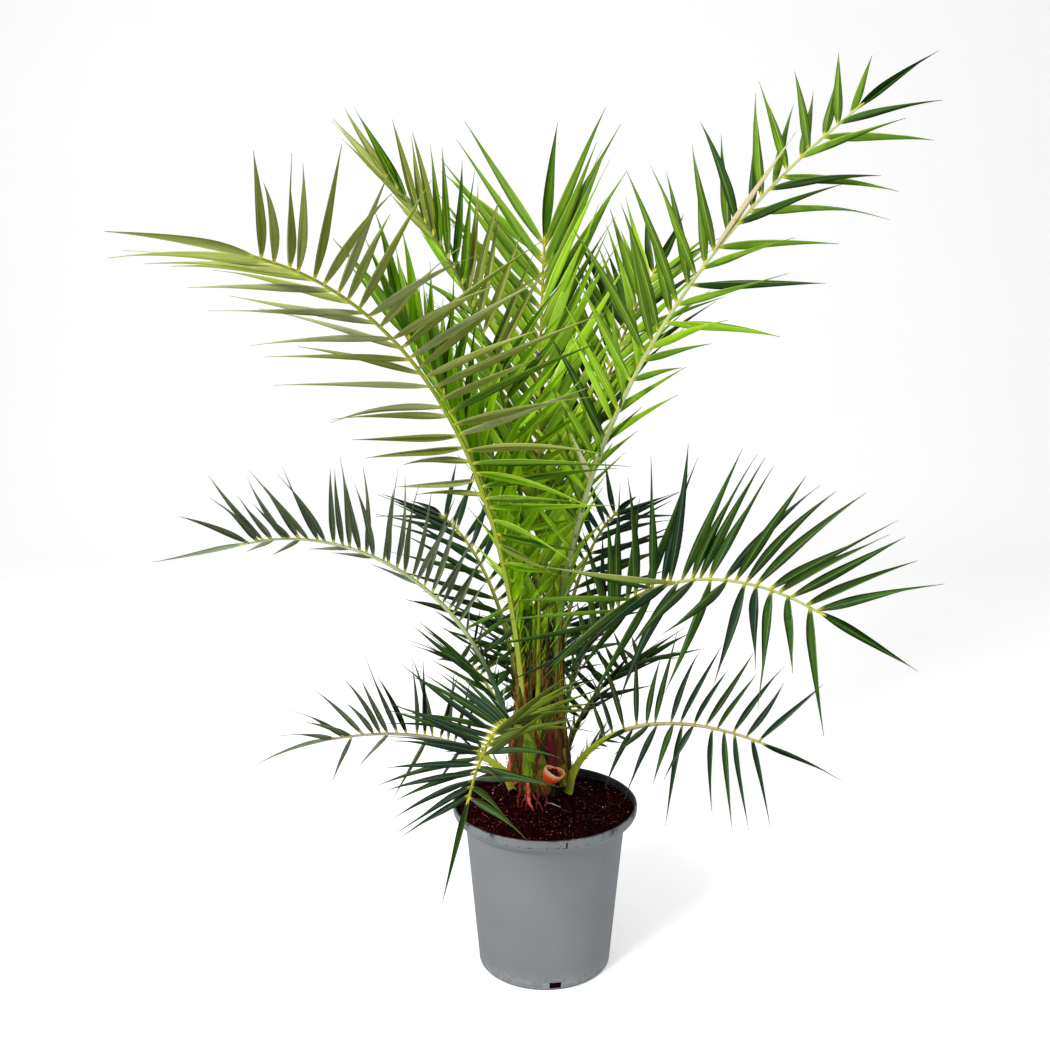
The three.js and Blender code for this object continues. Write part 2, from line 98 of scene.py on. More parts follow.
# Drainage slots, and the small split in the lip.
SLOT_COUNT = 4
SLOT_FIRST_TURN = -81.6
SLOT_SIZE = (11, 15, 8.5)
SLOT_BOTTOM = 3.5
SPLIT_TURN = -77.9
SPLIT_SIZE = (9, 2.2, 8)
SPLIT_FOOT = 211
SPLIT_TOE_TURN = -79.2
SPLIT_TOE_SIZE = (9, 4, 1.3)
SPLIT_TOE_FOOT = 210.8

# Soil: an uneven top with a low heap round the palm.
SOIL_CLEARANCE = 0.3
SOIL_EDGE = 212
SOIL_HEAP = 225
SOIL_HEAP_TOP = 46
SOIL_HEAP_FOOT = 72
SOIL_RINGS = 90
SOIL_SIDES = 240
SOIL_STRIP = 12
SOIL_SEED = 501

# Crumbs and splinters on the soil: how many, the smallest and the largest, and
# from which draw on each next paint of crumb is used.
CRUMB_COUNT = 2600
CRUMB_SIZES = (0.45, 2.0)
CRUMB_SHARES = (0.52, 0.8, 0.92)
SPLINTER_COUNT = 90
SPLINTER_LENGTHS = (4, 13)
SPLINTER_RADII = (0.25, 0.55)

# The one pale splinter: place, aim in radians, length, radius and paint.
PALE_SPLINTER = (9, -15, -0.2, 22, 0.8, 4)

# Trunk: a short leaning stem of old leaf bases wrapped in fibre.
TRUNK_FOOT = 226.3
TRUNK_FOOT_PLACE = (-6, 33)
TRUNK_LEAN = (-0.02, -0.17)
TRUNK_PROFILE = [
    (37, 226.3),
    (41, 238),
    (40, 256),
    (37, 280),
    (33, 305),
    (28, 328),
    (19, 352),
    (12, 375),
]
TRUNK_SIDES = 96
TRUNK_RINGS = 70
TRUNK_SEED = 601

# Boots, the old leaf bases round the stem, from the lowest to the highest; then
# young leaf stalks and strands of fibre, each from the least to the most.
GOLDEN_TURN = 137.5
BOOT_COUNT = 34
BOOT_FEET = (227, 315)
BOOT_LENGTHS = (66, 42)
BOOT_SPREADS = (0.16, 0.32)
BOOT_LIFTS = (1, 9)
BOOT_SWELLS = (4, 8)
YOUNG_COUNT = 26
YOUNG_FEET = (236, 330)
YOUNG_TOPS = (400, 545)
YOUNG_RADII = (2.6, 5)
YOUNG_OUT = (8, 31)
STRAND_COUNT = 320
STRAND_FEET = (228, 410)
STRAND_RISES = (18, 70)
STRAND_RADII = (0.22, 0.6)
STRAND_LOOSE = 9

# How far out the strands lie at these heights, and where they stop leaning.
STRAND_UPRIGHT = 340
WRAP_HEIGHTS = (226, 256, 280, 305, 330, 375, 430, 480)
WRAP_RADII = (42, 42, 39.5, 36, 33, 30, 29, 31)

# Trunk paints, numbered in the order in which make_trunk lists them.
BARK, LEAF_BASE, FIBRE, FIBRE_TAN, SHEATH_SKIN, SHEATH_LINING, ROOTLET_PINK = range(7)
GREEN, SHADED_GREEN, OLIVE, YELLOW, ROOTLET_RED, WINE, ORANGE = range(7, 14)
# The dark stalk base is the green one darkened as painted shade, for the crown's shadow on the
# stem. The boots and young stalks are dealt it often.
BOOT_PAINTS = (SHADED_GREEN, WINE, GREEN, SHADED_GREEN, LEAF_BASE, ORANGE, SHADED_GREEN, OLIVE, SHADED_GREEN, LEAF_BASE)
YOUNG_PAINTS = (SHADED_GREEN, OLIVE, SHADED_GREEN, GREEN)

# Old leaf bases at the foot: turn, height, length, radius, tip radius, tilt and
# paint; and their hollow end: share of the cut's radius, and rise.
STUBS = [
    (224, 238, 50, 8, 5, 72, YELLOW),
    (118, 240, 52, 10, 6, 60, GREEN),
]
STUB_HOLLOW = [(0.97, 0.1), (0.9, 0.9), (0.72, 0.9), (0.5, 0.3)]

# Live leaf bases in front: turn, radius, foot, top, half width, half depth.
GREEN_BASES = [
    (248, 36, 236, 322, 12, 7),
    (276, 31, 240, 306, 9, 6),
    (206, 34, 232, 300, 8, 6),
]

# Torn leaf base like a bowl: where it starts, where it opens to, its size, and
# the waves of its rim: height, number and shift.
CUP_PLACE = (4, -9, 251)
CUP_AIM = (0.34, -0.5, 0.8)
CUP_RADIUS = 14
CUP_DEPTH = 26
CUP_WALL = 1.6
CUP_SLANT = 6
CUP_HIGH = 3.4
CUP_WAVES = [(0.14, 2, 2), (0.09, 3, 1), (0.03, 11, 0)]

# Young roots in front of the foot: where each starts, turns down and ends, its
# radius and its paint.
ROOTLETS = [
    ((-21, -13, 258), (-25, -18, 244), (-16, -35, 223), 3.1, ROOTLET_PINK),
    ((-33, -8, 254), (-31, -15, 243), (-36, -22, 222), 2.2, ROOTLET_RED),
    ((-12, -11, 256), (-6, -17, 245), (-11, -25, 222), 2.0, ROOTLET_RED),
    ((-27, -10, 250), (-14, -18, 240), (-3, -34, 222), 1.6, ROOTLET_RED),
    ((-20, -12, 250), (-28, -24, 240), (-23, -31, 222), 1.8, ROOTLET_RED),
    ((-5, -12, 252), (3, -17, 242), (1, -24, 222), 1.7, ROOTLET_RED),
    ((-15, -12, 243), (-26, -20, 235), (-33, -21, 222), 1.5, ROOTLET_RED),
]

# Leaflets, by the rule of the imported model, and finer.
LEAF_WIDTH = 13.5
LEAF_WIDEST = 0.32
LEAF_ROOT = 0.24
LEAF_TWIST = 28
LEAF_LONGEST = 0.4
LEAF_FIRST = 0.45
LEAF_JITTER = {"angle": 7, "vee": 8, "length": 0.08}
LEAF_GROWTH = 2
LEAF_FADE = 1.5
SHORT_LEAF = (150, 0.6)
LEAF_STAGGER = 0.2
LEAF_SCATTER = 0.26
LEAF_LAST = 0.9
LEAF_STEPS = 16
GREEN_SCATTER = 0.3

# One leaflet's own turn about its rib, its coil towards the tip, its hang and its
# curl to a side, and how late these bend it; its fold, with the thickness of its
# skin and of its rib; and how often and where one half ends in a notch.
LEAF_TURNS = (-20, 20)
LEAF_COILS = (-0.45, 0.45)
LEAF_HANGS = (0, 0.11)
LEAF_CURLS = (-0.08, 0.08)
LEAF_BEND = 2.2
LEAF_FOLD = 36
LEAF_SKIN = 0.3
LEAF_RIB_ROOT = 0.9
LEAF_RIB_TIP = 0.35
LEAF_NOTCHED = 0.5
LEAF_NOTCHES = (0.64, 0.93)

# Rachis: steps of its line, rings and sides of its mesh, its radius at the tip,
# how it tapers, how it broadens at the foot, and its three-sided outline. Then
# the small leaves of the stalk.
RACHIS_STEPS = 14
RACHIS_RINGS = 72
RACHIS_SIDES = 14
RACHIS_TIP_RADIUS = 2.4
RACHIS_TAPER = 1.5
RACHIS_FLARE = 0.9
RACHIS_FLARE_LENGTH = 75
RACHIS_ROUND = 0.62
RACHIS_THREE_SIDED = 0.12
SPINE_ANGLES = (14, 44)
SPINE_LIFTS = (-30, 60)
SPIKE_LONGEST = 30

# Spike: place along it from 0 to 1, and radius. Knob: place in millimetres, and
# its radius beside the widest, which lies between the two sizes given.
SPIKE_PROFILE = [(0, 1.3), (0.3, 1.0), (0.75, 0.5), (1, 0.1)]
KNOB_PROFILE = [(-1.5, 0.35), (0, 0.85), (2.6, 1), (5.5, 0.75), (8.5, 0.3)]
KNOB_SIZES = (1.1, 2.3)

# Seeds of the first frond: of its leaflets' shapes, and of their places.
LEAF_SEED = 101
ROW_SEED = 1


def row(vee, angle, longest, bare, count, finer, tip=None):
    """One side's leaflets. vee, the lift above the blade's plane, and angle, to
    the rachis, are given at the first leaflet and at the last; bare is the
    leafless share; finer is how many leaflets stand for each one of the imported
    model; and tip is this side's own."""
    return dict(vee=vee, angle=angle, longest=longest, bare=bare, count=count, finer=finer,
                tip=tip)


# Fronds. Each starts at its seat inside the trunk and heads outward.
#   seat: turn and radius about the trunk's axis, and height
#   course: compass turn at the foot, and its change to the tip
#   slope: slope at the foot and at the tip, and how late it falls
#   roll: twist of the blade about the rachis, at the foot and at the tip
#   left, right: each side's leaflets
#   tip: length of the last leaflets beside the longest
#   wide: leaflet width beside the usual
#   ranks: how far leaflets lean up and down by turns, out of their row
#   droop: how far the leaflets hang, beside the usual
#   strays: leaflets out of their row, each with its t, side, angle, vee,
#   length, width and paint
#   flare: how far the stalk broadens at its foot, where not as usual
#   spines: the small leaves of the stalk on one side, and the longest
#   greens: the leaf paints, dealt out from foot to tip, and right_greens those
#   of the right side where it has its own; stalk: the rachis paint
#   split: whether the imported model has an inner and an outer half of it
MIDDLE_BACK = dict(
    slope=(82, 10, 1.3), length=400, radius=7, tip=0.7, wide=0.8, ranks=10,
    left=row((22, 22), (70, 46), 140, 0.28, 13, 1.15),
    right=row((22, 22), (70, 46), 140, 0.28, 13, 1.15),
    spines=(10, 50), greens="forest bottle", stalk="stalk_green")
LOW_BACK = dict(
    radius=7, tip=0.75, wide=0.75, ranks=10, spines=(8, 44), greens="bottle forest",
    stalk="stalk_green", split=True)


def low_row(longest, bare, count):
    """A row of a low frond at the back."""
    return row((22, 22), (80, 46), longest, bare, count, 1.1)


FRONDS = [
    dict(name="frond_01_front_left", seat=(222, 21, 305), course=(234, -1),
         slope=(83, 11, 1.55), length=805, radius=8, roll=(-16, 9), tip=0.8, wide=0.8, ranks=5,
         left=row((-6, 26), (86, 47), 228, 0.3, 24, 1.3, 0.68),
         right=row((-12, 10), (93, 66), 190, 0.42, 17, 1.2),
         droop=1.3, spines=(9, 46), greens="lime lime grass olive sage olive olive",
         right_greens="grass olive sage olive sage", stalk="stalk_lime"),
    dict(name="frond_02_back_left", seat=(132, 21, 305), course=(142, 22),
         slope=(91, 44, 1.9), length=757, radius=8, roll=(80, 55), tip=0.8, wide=0.85, ranks=9,
         left=row((30, 40), (76, 13), 140, 0.32, 21, 1.4),
         right=row((18, 38), (80, 21), 166, 0.32, 21, 1.4),
         spines=(11, 80), greens="bright bright lime grass olive", stalk="stalk_green"),
    dict(name="frond_03_centre", seat=(0, 0, 372), course=(92, -8),
         slope=(84, 62, 0.9), length=595, radius=6.5, roll=(12, -8), tip=1, wide=1.15, ranks=11,
         left=row((18, 12), (34, 40), 205, 0.12, 22, 1.6),
         right=row((18, 12), (34, 28), 200, 0.12, 22, 1.6),
         spines=(7, 110), greens="bright bright bright lime lime grass", stalk="stalk_lime"),
    dict(name="frond_04_front_right", seat=(330, 21, 305), course=(317, 33),
         slope=(91, 39, 1.05), length=875, radius=8, roll=(54, 31), tip=0.58, wide=0.85, ranks=8,
         left=row((20, 8), (68, 62), 190, 0.28, 26, 1.3),
         right=row((-14, 4), (52, 56), 180, 0.54, 14, 1.05, 0.9),
         strays=((0.75, 1, 4, 55, 160, 9, "dry"), (0.4, 1, 40, 62, 66, 10, "dry")),
         spines=(9, 50), greens="bright bright lime lime grass grass forest grass grass",
         stalk="stalk_pale"),
    dict(name="frond_05_back_right", seat=(26, 21, 305), course=(56, -5),
         slope=(88, 44, 1.3), length=650, radius=8, roll=(-10, 10), tip=0.65, wide=1, ranks=11,
         left=row((15, 15), (46, 36), 190, 0.26, 20, 1.7),
         right=row((15, 15), (50, 40), 160, 0.5, 12, 1.7),
         spines=(12, 100), greens="bright bright lime grass lime forest", stalk="stalk_green"),
    dict(name="frond_06_inner_left", seat=(176, 21, 305), course=(182, 5),
         slope=(90, 55, 1.25), length=560, radius=8, roll=(8, 12), tip=0.8, wide=1.1, ranks=11,
         left=row((20, 20), (52, 38), 180, 0.28, 17, 1.7),
         right=row((20, 20), (44, 34), 185, 0.28, 17, 1.7),
         spines=(12, 100), greens="bright bright bright lime grass", stalk="stalk_lime"),
    dict(name="frond_07_middle_left", seat=(186, 30, 264), course=(192, -8),
         slope=(80, -12, 1.41), length=513, radius=7, roll=(56, 32), tip=0.85, wide=0.6, ranks=5,
         left=row((19, 7), (66, 75), 149, 0.4, 18, 1.6),
         right=row((20, 11), (64, 66), 105, 0.36, 9, 0.8),
         strays=((0.35, 1, 88, 52, 146, 7, "forest"), (0.31, 1, 76, 30, 138, 7, "bottle"),
                 (0.39, 1, 98, 44, 150, 6, "grass"), (0.27, 1, 84, 58, 130, 6, "forest")),
         spines=(12, 60), greens="bottle forest slate slate slate", stalk="stalk_shaded",
         split=True),
    dict(name="frond_08_middle_right", seat=(344, 30, 268), course=(305, 20),
         slope=(90, -22, 1.1), length=542, radius=7, roll=(41, 39), tip=0.8, wide=0.85, ranks=7,
         left=row((18, 43), (84, 48), 166, 0.3, 19, 1.35),
         right=row((22, 20), (105, 57), 190, 0.4, 15, 1.1),
         strays=((0.53, -1, 98, 57, 178, 9, "grass"), (0.66, -1, 116, 60, 204, 9, "olive"),
                 (0.42, -1, 96, 46, 186, 8, "forest"), (0.6, -1, 106, 66, 168, 7, "forest"),
                 (0.47, -1, 112, 62, 150, 6, "grass"), (0.34, -1, 104, 40, 140, 7, "bottle")),
         droop=1.5, spines=(12, 70), greens="forest bottle forest", stalk="stalk_shaded",
         split=True),
    dict(MIDDLE_BACK, name="frond_09_middle_back_left", seat=(128, 30, 262), course=(118, 5),
         roll=(-15, -15)),
    dict(MIDDLE_BACK, name="frond_10_middle_back_right", seat=(64, 30, 262), course=(68, -5),
         roll=(15, 15)),
    dict(name="frond_11_low_right", seat=(334, 41, 229), course=(317, 11),
         slope=(90, -10, 0.57), length=333, radius=7.5, roll=(48, 61), tip=0.85, wide=0.58,
         ranks=6,
         left=row((53, 51), (65, 55), 136, 0.3, 13, 1.05),
         right=row((46, 44), (88, 55), 144, 0.42, 11, 1),
         droop=2.4, flare=1.5, spines=(10, 48), greens="bottle forest bottle",
         stalk="stalk_foot", split=True),
    dict(name="frond_12_low_front", seat=(248, 24, 292), course=(251, 9),
         slope=(64, -26, 0.71), length=319, radius=6.5, roll=(-22, 19), tip=0.8, wide=0.62,
         ranks=6,
         left=row((30, 33), (78, 49), 169, 0.3, 16, 1.15),
         right=row((31, 37), (101, 36), 130, 0.34, 19, 1.15),
         droop=1.3, spines=(6, 40), greens="moss moss moss forest",
         right_greens="bottle forest bottle", stalk="stalk_lime", split=True),
    dict(name="frond_13_low_left", seat=(198, 37, 232), course=(205, -10),
         slope=(75, -5, 0.53), length=272, radius=7, roll=(92, 42), tip=0.85, wide=0.55, ranks=6,
         left=row((10, 5), (73, 58), 127, 0.34, 12, 1.3),
         right=row((-5, 1), (98, 73), 110, 0.36, 4, 1),
         droop=1.5, spines=(8, 44), greens="bottle slate", stalk="stalk_foot", split=True),
    dict(LOW_BACK, name="frond_14_low_back", seat=(92, 36, 232), course=(92, 0),
         slope=(74, -15, 0.8), length=320, roll=(0, 0),
         left=low_row(125, 0.26, 12), right=low_row(125, 0.26, 12)),
    dict(LOW_BACK, name="frond_15_low_back_right", seat=(38, 36, 234), course=(50, -4),
         slope=(76, -10, 0.9), length=250, roll=(-10, -15),
         left=low_row(112, 0.28, 11), right=low_row(105, 0.28, 11)),
    dict(LOW_BACK, name="frond_16_low_back_left", seat=(146, 36, 234), course=(116, 4),
         slope=(76, -10, 0.9), length=235, roll=(10, 15),
         left=low_row(105, 0.28, 10), right=low_row(112, 0.28, 10)),
]
UPPER_FRONDS = 6

# Leaf paints: main colour, second colour and light vein colour, 0 to 255.
LEAF_PAINTS = {
    # bright is lime made paler still: the young leaves' own yellow-green with painted light over
    # it, for the light that shines through the leaves in the crown's heart. It is dealt to the feet
    # of the inner fronds.
    "bright": ((176, 222, 16), (112, 172, 0), (214, 230, 96)),
    "lime": ((136, 184, 8), (82, 138, 0), (190, 212, 84)),
    "grass": ((98, 140, 16), (40, 84, 0), (152, 178, 74)),
    "dry": ((226, 220, 188), (190, 178, 134), (244, 240, 220)),
    "olive": ((142, 150, 74), (100, 118, 34), (186, 190, 120)),
    "sage": ((160, 168, 114), (118, 132, 68), (198, 202, 158)),
    "forest": ((36, 80, 12), (0, 24, 0), (104, 136, 66)),
    "bottle": ((18, 46, 20), (0, 12, 2), (84, 114, 84)),
    "moss": ((80, 106, 10), (20, 40, 0), (136, 150, 60)),
    "slate": ((124, 136, 106), (70, 88, 58), (162, 170, 146)),
}
TIP_BROWN = (112, 92, 84)
ROOT_YELLOW = (190, 186, 62)
MARGIN_RUST = (120, 78, 34)

# Rachis paints: main colour, shadow-side colour and foot colour, 0 to 255, and
# the share of the length that the foot's colour reaches up.
STALK_PAINTS = {
    "stalk_lime": ((150, 164, 42), (104, 130, 20), (150, 150, 60), 0.12),
    "stalk_pale": ((178, 190, 140), (128, 148, 88), (70, 112, 24), 0.38),
    "stalk_shaded": ((178, 190, 146), (128, 148, 92), (30, 62, 24), 0.42),
    "stalk_green": ((104, 130, 48), (64, 94, 22), (130, 130, 54), 0.12),
    "stalk_foot": ((182, 176, 160), (118, 104, 94), (158, 172, 30), 0.52),
}
KNOB_YELLOW = (204, 192, 54)
KNOB_GREEN = (132, 146, 52)

# Soil colours: dark earth, red earth and paler crumbs.
SOIL_COLOURS = [(14, 0, 1), (40, 5, 7), (58, 16, 14)]

# Pot colours, from grey to the black painted shade of its slots; and its scuffs:
# place and reach, in metres.
POT_COLOURS = [
    (114, 118, 121), (118, 122, 125), (146, 150, 152), (44, 46, 50), (12, 12, 14),
]
POT_SCUFFS = [
    ((0.0849, -0.0849, 0.221), 0.016),
    ((-0.0688, -0.0983, 0.221), 0.014),
    ((-0.098, -0.069, 0.2215), 0.012),
    ((0.112, -0.043, 0.2215), 0.014),
    ((0.0732, -0.0719, 0.175), 0.0022),
]


def between(start, end, t):
    return start + (end - start) * t


def unit(vector):
    return vector / np.linalg.norm(vector)


def turned_about(vector, axis, degrees):
    """A vector turned about a unit axis."""
    angle = radians(degrees)
    side = np.cross(axis, vector)
    return (vector * cos(angle) + side * sin(angle)
            + axis * np.dot(axis, vector) * (1 - cos(angle)))


def outward(turn, slope=0):
    """The direction at a turn about the upright axis and a slope above level."""
    return np.array((cos(slope) * cos(turn), cos(slope) * sin(turn), sin(slope)))


def leftward(turn):
    """The level direction to the left of outward."""
    return np.array((-sin(turn), cos(turn), 0.0))


def full_turn(count):
    """Evenly spaced turns round a circle, in radians."""
    return np.linspace(0, 2 * pi, count, endpoint=False)


def curve(start, middle, end, t):
    """A point of the curve from start to end that bends towards the middle."""
    return start * (1 - t) ** 2 + middle * 2 * t * (1 - t) + end * t ** 2


RANDOM_RANGE = 2 ** 32
RANDOM_SPREAD = 2654435761
RANDOM_STEP = 1664525
RANDOM_SHIFT = 1013904223


def random_draws(seed):
    """A function that draws random values, repeatably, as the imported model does."""
    state = (seed * RANDOM_SPREAD) % RANDOM_RANGE

    def draw(low=0, high=1):
        nonlocal state
        state = (state * RANDOM_STEP + RANDOM_SHIFT) % RANDOM_RANGE
        return between(low, high, state / RANDOM_RANGE)

    return draw


# Gathering meshes

FACE_MIDDLE = (0.5, 0.5)
PLAIN_LEAF = (0.5, 0.0)


def new_object(name, data):
    thing = bpy.data.objects.new(name, data)
    bpy.context.scene.collection.objects.link(thing)
    return thing


class Shape:
    """Corners, faces, paints and face maps of one piece, before it is made."""

    def __init__(self):
        self.points = []
        self.count = 0
        self.faces = []
        self.paints = []
        self.blade = []
        self.leaf = []

    def add(self, points, faces, paint=0, blade=None, leaf=None):
        """blade gives each face's corners their place across and along, and
        leaf gives each face its tone and whether it is an underside."""
        start = self.count
        self.points.append(np.asarray(points, dtype=float))
        self.count += len(points)
        for i, face in enumerate(faces):
            self.faces.append([start + corner for corner in face])
            self.paints.append(paint)
            self.blade.extend(blade[i] if blade else [FACE_MIDDLE] * len(face))
            self.leaf.extend([leaf[i] if leaf else PLAIN_LEAF] * len(face))

    def make(self, name, paints, sharp=38, scale=MM):
        mesh = bpy.data.meshes.new(name)
        mesh.from_pydata((np.concatenate(self.points) * scale).tolist(), [], self.faces)
        for paint in paints:
            mesh.materials.append(paint)
        mesh.polygons.foreach_set("material_index", self.paints)
        for title, places in (("blade", self.blade), ("leaf", self.leaf)):
            layer = mesh.uv_layers.new(name=title)
            layer.data.foreach_set("uv", np.asarray(places, dtype=np.float32).ravel())
        mesh.polygons.foreach_set("use_smooth", [True] * len(self.faces))
        mesh.set_sharp_from_angle(angle=radians(sharp))
        mesh.update()
        return new_object(name, mesh)


def loft(shape, rings, paint=0, across=None, tone=0.5, unders=(), ends=True):
    """A skin over rings of corners, closed round and, with ends, at both ends.
    across gives the strips' places from 0 to 1, and unders an underside's."""
    rings = np.asarray(rings, dtype=float)
    count, sides = rings.shape[:2]
    across = across or [j / sides for j in range(sides + 1)]
    faces = []
    blade = []
    leaf = []
    for i in range(count - 1):
        low = i / (count - 1)
        high = (i + 1) / (count - 1)
        for j in range(sides):
            k = (j + 1) % sides
            faces.append((i * sides + j, i * sides + k, (i + 1) * sides + k, (i + 1) * sides + j))
            blade.append(((across[j], low), (across[j + 1], low),
                          (across[j + 1], high), (across[j], high)))
            leaf.append((tone, 1.0 if j in unders else 0.0))
    if ends:
        faces.append(tuple(reversed(range(sides))))
        faces.append(tuple((count - 1) * sides + j for j in range(sides)))
        blade += [[(0.5, 0.0)] * sides, [(0.5, 1.0)] * sides]
        leaf += [(tone, 0.0)] * 2
    shape.add(rings.reshape(-1, 3), faces, paint, blade, leaf)


def round_ring(centre, first, second, width, height, sides):
    """A ring of corners round a centre, from the first axis to the second."""
    turns = full_turn(sides)[:, None]
    return centre + first * np.cos(turns) * width + second * np.sin(turns) * height


def side_axes(direction):
    """Two axes square to a direction."""
    guide = (0.0, 0.0, 1.0) if abs(direction[2]) < 0.9 else (1.0, 0.0, 0.0)
    first = unit(np.cross(guide, direction))
    return first, np.cross(direction, first)


def strand(shape, points, radius, sides=4, paint=0, tone=0.5):
    """A thin thread through points, thinner at its ends."""
    points = np.asarray(points, dtype=float)
    count = len(points)
    rings = []
    for i in range(count):
        direction = unit(points[min(i + 1, count - 1)] - points[max(i - 1, 0)])
        size = radius * (0.25 + 0.75 * sin(pi * (i + 0.35) / (count - 0.3)))
        rings.append(round_ring(points[i], *side_axes(direction), size, size, sides))
    loft(shape, rings, paint, tone=tone)


# Paints


def mix_of(colour):
    """A linear colour from one given from 0 to 255."""
    shares = [part / 255 for part in colour]
    linear = [s / 12.92 if s <= 0.04045 else ((s + 0.055) / 1.055) ** 2.4 for s in shares]
    return (*linear, 1.0)


class Paint:
    """A procedural material under construction."""

    def __init__(self, name, roughness=0.5, shine=0.5):
        self.material = bpy.data.materials.new(name)
        self.material.use_nodes = True
        self.tree = self.material.node_tree
        self.surface = self.tree.nodes["Principled BSDF"]
        self.set(self.surface, "Roughness", roughness)
        self.set(self.surface, "Specular IOR Level", shine)

    def set(self, node, socket, value):
        place = node.inputs[socket]
        if isinstance(value, bpy.types.NodeSocket):
            self.tree.links.new(value, place)
        else:
            place.default_value = value

    def node(self, kind, inputs, **settings):
        node = self.tree.nodes.new("ShaderNode" + kind)
        for key, value in settings.items():
            setattr(node, key, value)
        for socket, value in inputs.items():
            self.set(node, socket, value)
        return node

    def place(self):
        return self.node("TexCoord", {}).outputs["Object"]

    def face_map(self, title):
        node = self.node("UVMap", {}, uv_map=title)
        parts = self.node("SeparateXYZ", {"Vector": node.outputs["UV"]})
        return parts.outputs["X"], parts.outputs["Y"]

    def vector(self, x, y, z):
        return self.node("CombineXYZ", {"X": x, "Y": y, "Z": z}).outputs["Vector"]

    def sum(self, kind, first, second=0.0):
        node = self.node("Math", {0: first, 1: second}, operation=kind)
        return node.outputs["Value"]

    def times(self, first, second):
        return self.sum("MULTIPLY", first, second)

    def off(self, value, middle):
        """How far a value is from a middle one, on either side."""
        return self.sum("ABSOLUTE", self.sum("SUBTRACT", value, middle))

    def distance(self, place, point):
        node = self.node("VectorMath", {0: place, 1: point}, operation="DISTANCE")
        return node.outputs["Value"]

    def off_axis(self, place):
        """Distance from the upright axis, in metres."""
        level = {0: place, 1: (1.0, 1.0, 0.0)}
        flat = self.node("VectorMath", level, operation="MULTIPLY").outputs["Vector"]
        return self.distance(flat, (0.0, 0.0, 0.0))

    def noise(self, vector, scale, detail=3.0, rough=0.5):
        inputs = {"Vector": vector, "Scale": scale, "Detail": detail, "Roughness": rough}
        return self.node("TexNoise", inputs).outputs["Fac"]

    def fibres(self, places, stretch, scale, detail=3.0, rough=0.5):
        """Noise drawn out into fibres: each place is stretched by its own factor."""
        return self.noise(self.vector(*map(self.times, places, stretch)), scale, detail, rough)

    def cells(self, vector, scale):
        inputs = {"Vector": vector, "Scale": scale}
        return self.node("TexVoronoi", inputs).outputs["Distance"]

    def span(self, value, low, high, start=0.0, end=1.0):
        """start below the low value, end above the high one, smooth between."""
        inputs = {"Value": value, "From Min": low, "From Max": high, "To Min": start, "To Max": end}
        node = self.node("MapRange", inputs, interpolation_type="SMOOTHSTEP")
        return node.outputs["Result"]

    def where(self, first, second):
        """The share where two spans both hold."""
        return self.times(self.span(*first), self.span(*second))

    def blend(self, share, first, second):
        node = self.node("Mix", {}, data_type="RGBA")
        for socket, value in ((0, share), (6, first), (7, second)):
            self.set(node, socket, value)
        return node.outputs[2]

    def over(self, colour, top, value, low, high, start=0.0, end=1.0):
        """A colour with another over it, by a share that follows a value."""
        return self.blend(self.span(value, low, high, start, end), colour, top)

    def finish(self, colour, height=None, depth=0.001, strength=0.5, roughness=None):
        self.set(self.surface, "Base Color", colour)
        if height is not None:
            inputs = {"Height": height, "Distance": depth, "Strength": strength}
            bump = self.node("Bump", inputs)
            self.set(self.surface, "Normal", bump.outputs["Normal"])
        if roughness is not None:
            self.set(self.surface, "Roughness", roughness)
        return self.material


def leaf_paint(name, colours):
    """A leaflet's skin: fine veins along it, a pale rib, a thin rusty margin,
    yellow at the root and brown at the needle tip, and a little paler beneath."""
    main, second, light = map(mix_of, colours)
    paint = Paint("leaf_" + name, roughness=0.4, shine=0.05)
    across, along = paint.face_map("blade")
    tone, under = paint.face_map("leaf")
    veins = paint.fibres((across, along, tone), (26.0, 1.0, 37.0), 1.6, 2.0)
    streaks = paint.fibres((across, along, tone), (4.0, 2.0, 37.0), 1.4)
    patches = paint.noise(paint.place(), 38.0)
    colour = paint.blend(tone, main, second)
    colour = paint.over(colour, light, veins, 0.5, 0.72, 0.0, 0.42)
    colour = paint.over(colour, second, streaks, 0.46, 0.64, 0.0, 0.8)
    colour = paint.over(colour, second, patches, 0.52, 0.7, 0.0, 0.55)
    colour = paint.blend(paint.times(under, 0.15), colour, light)
    off_rib = paint.off(across, 0.5)
    colour = paint.over(colour, second, off_rib, 0.26, 0.46, 0.0, 0.75)
    rib = paint.span(off_rib, 0.02, 0.09, 0.75, 0.0)
    colour = paint.blend(rib, colour, light)
    edge = paint.where((off_rib, 0.45, 0.49, 0.0, 0.7), (streaks, 0.42, 0.6))
    colour = paint.blend(edge, colour, mix_of(MARGIN_RUST))
    colour = paint.over(colour, mix_of(ROOT_YELLOW), along, 0.0, 0.08, 0.75, 0.0)
    colour = paint.over(colour, mix_of(TIP_BROWN), along, 0.93, 0.99, 0.0, 0.75)
    relief = paint.sum("ADD", veins, paint.times(rib, 0.4))
    return paint.finish(colour, relief, 0.0005, 0.35, paint.span(patches, 0.3, 0.7, 0.38, 0.54))


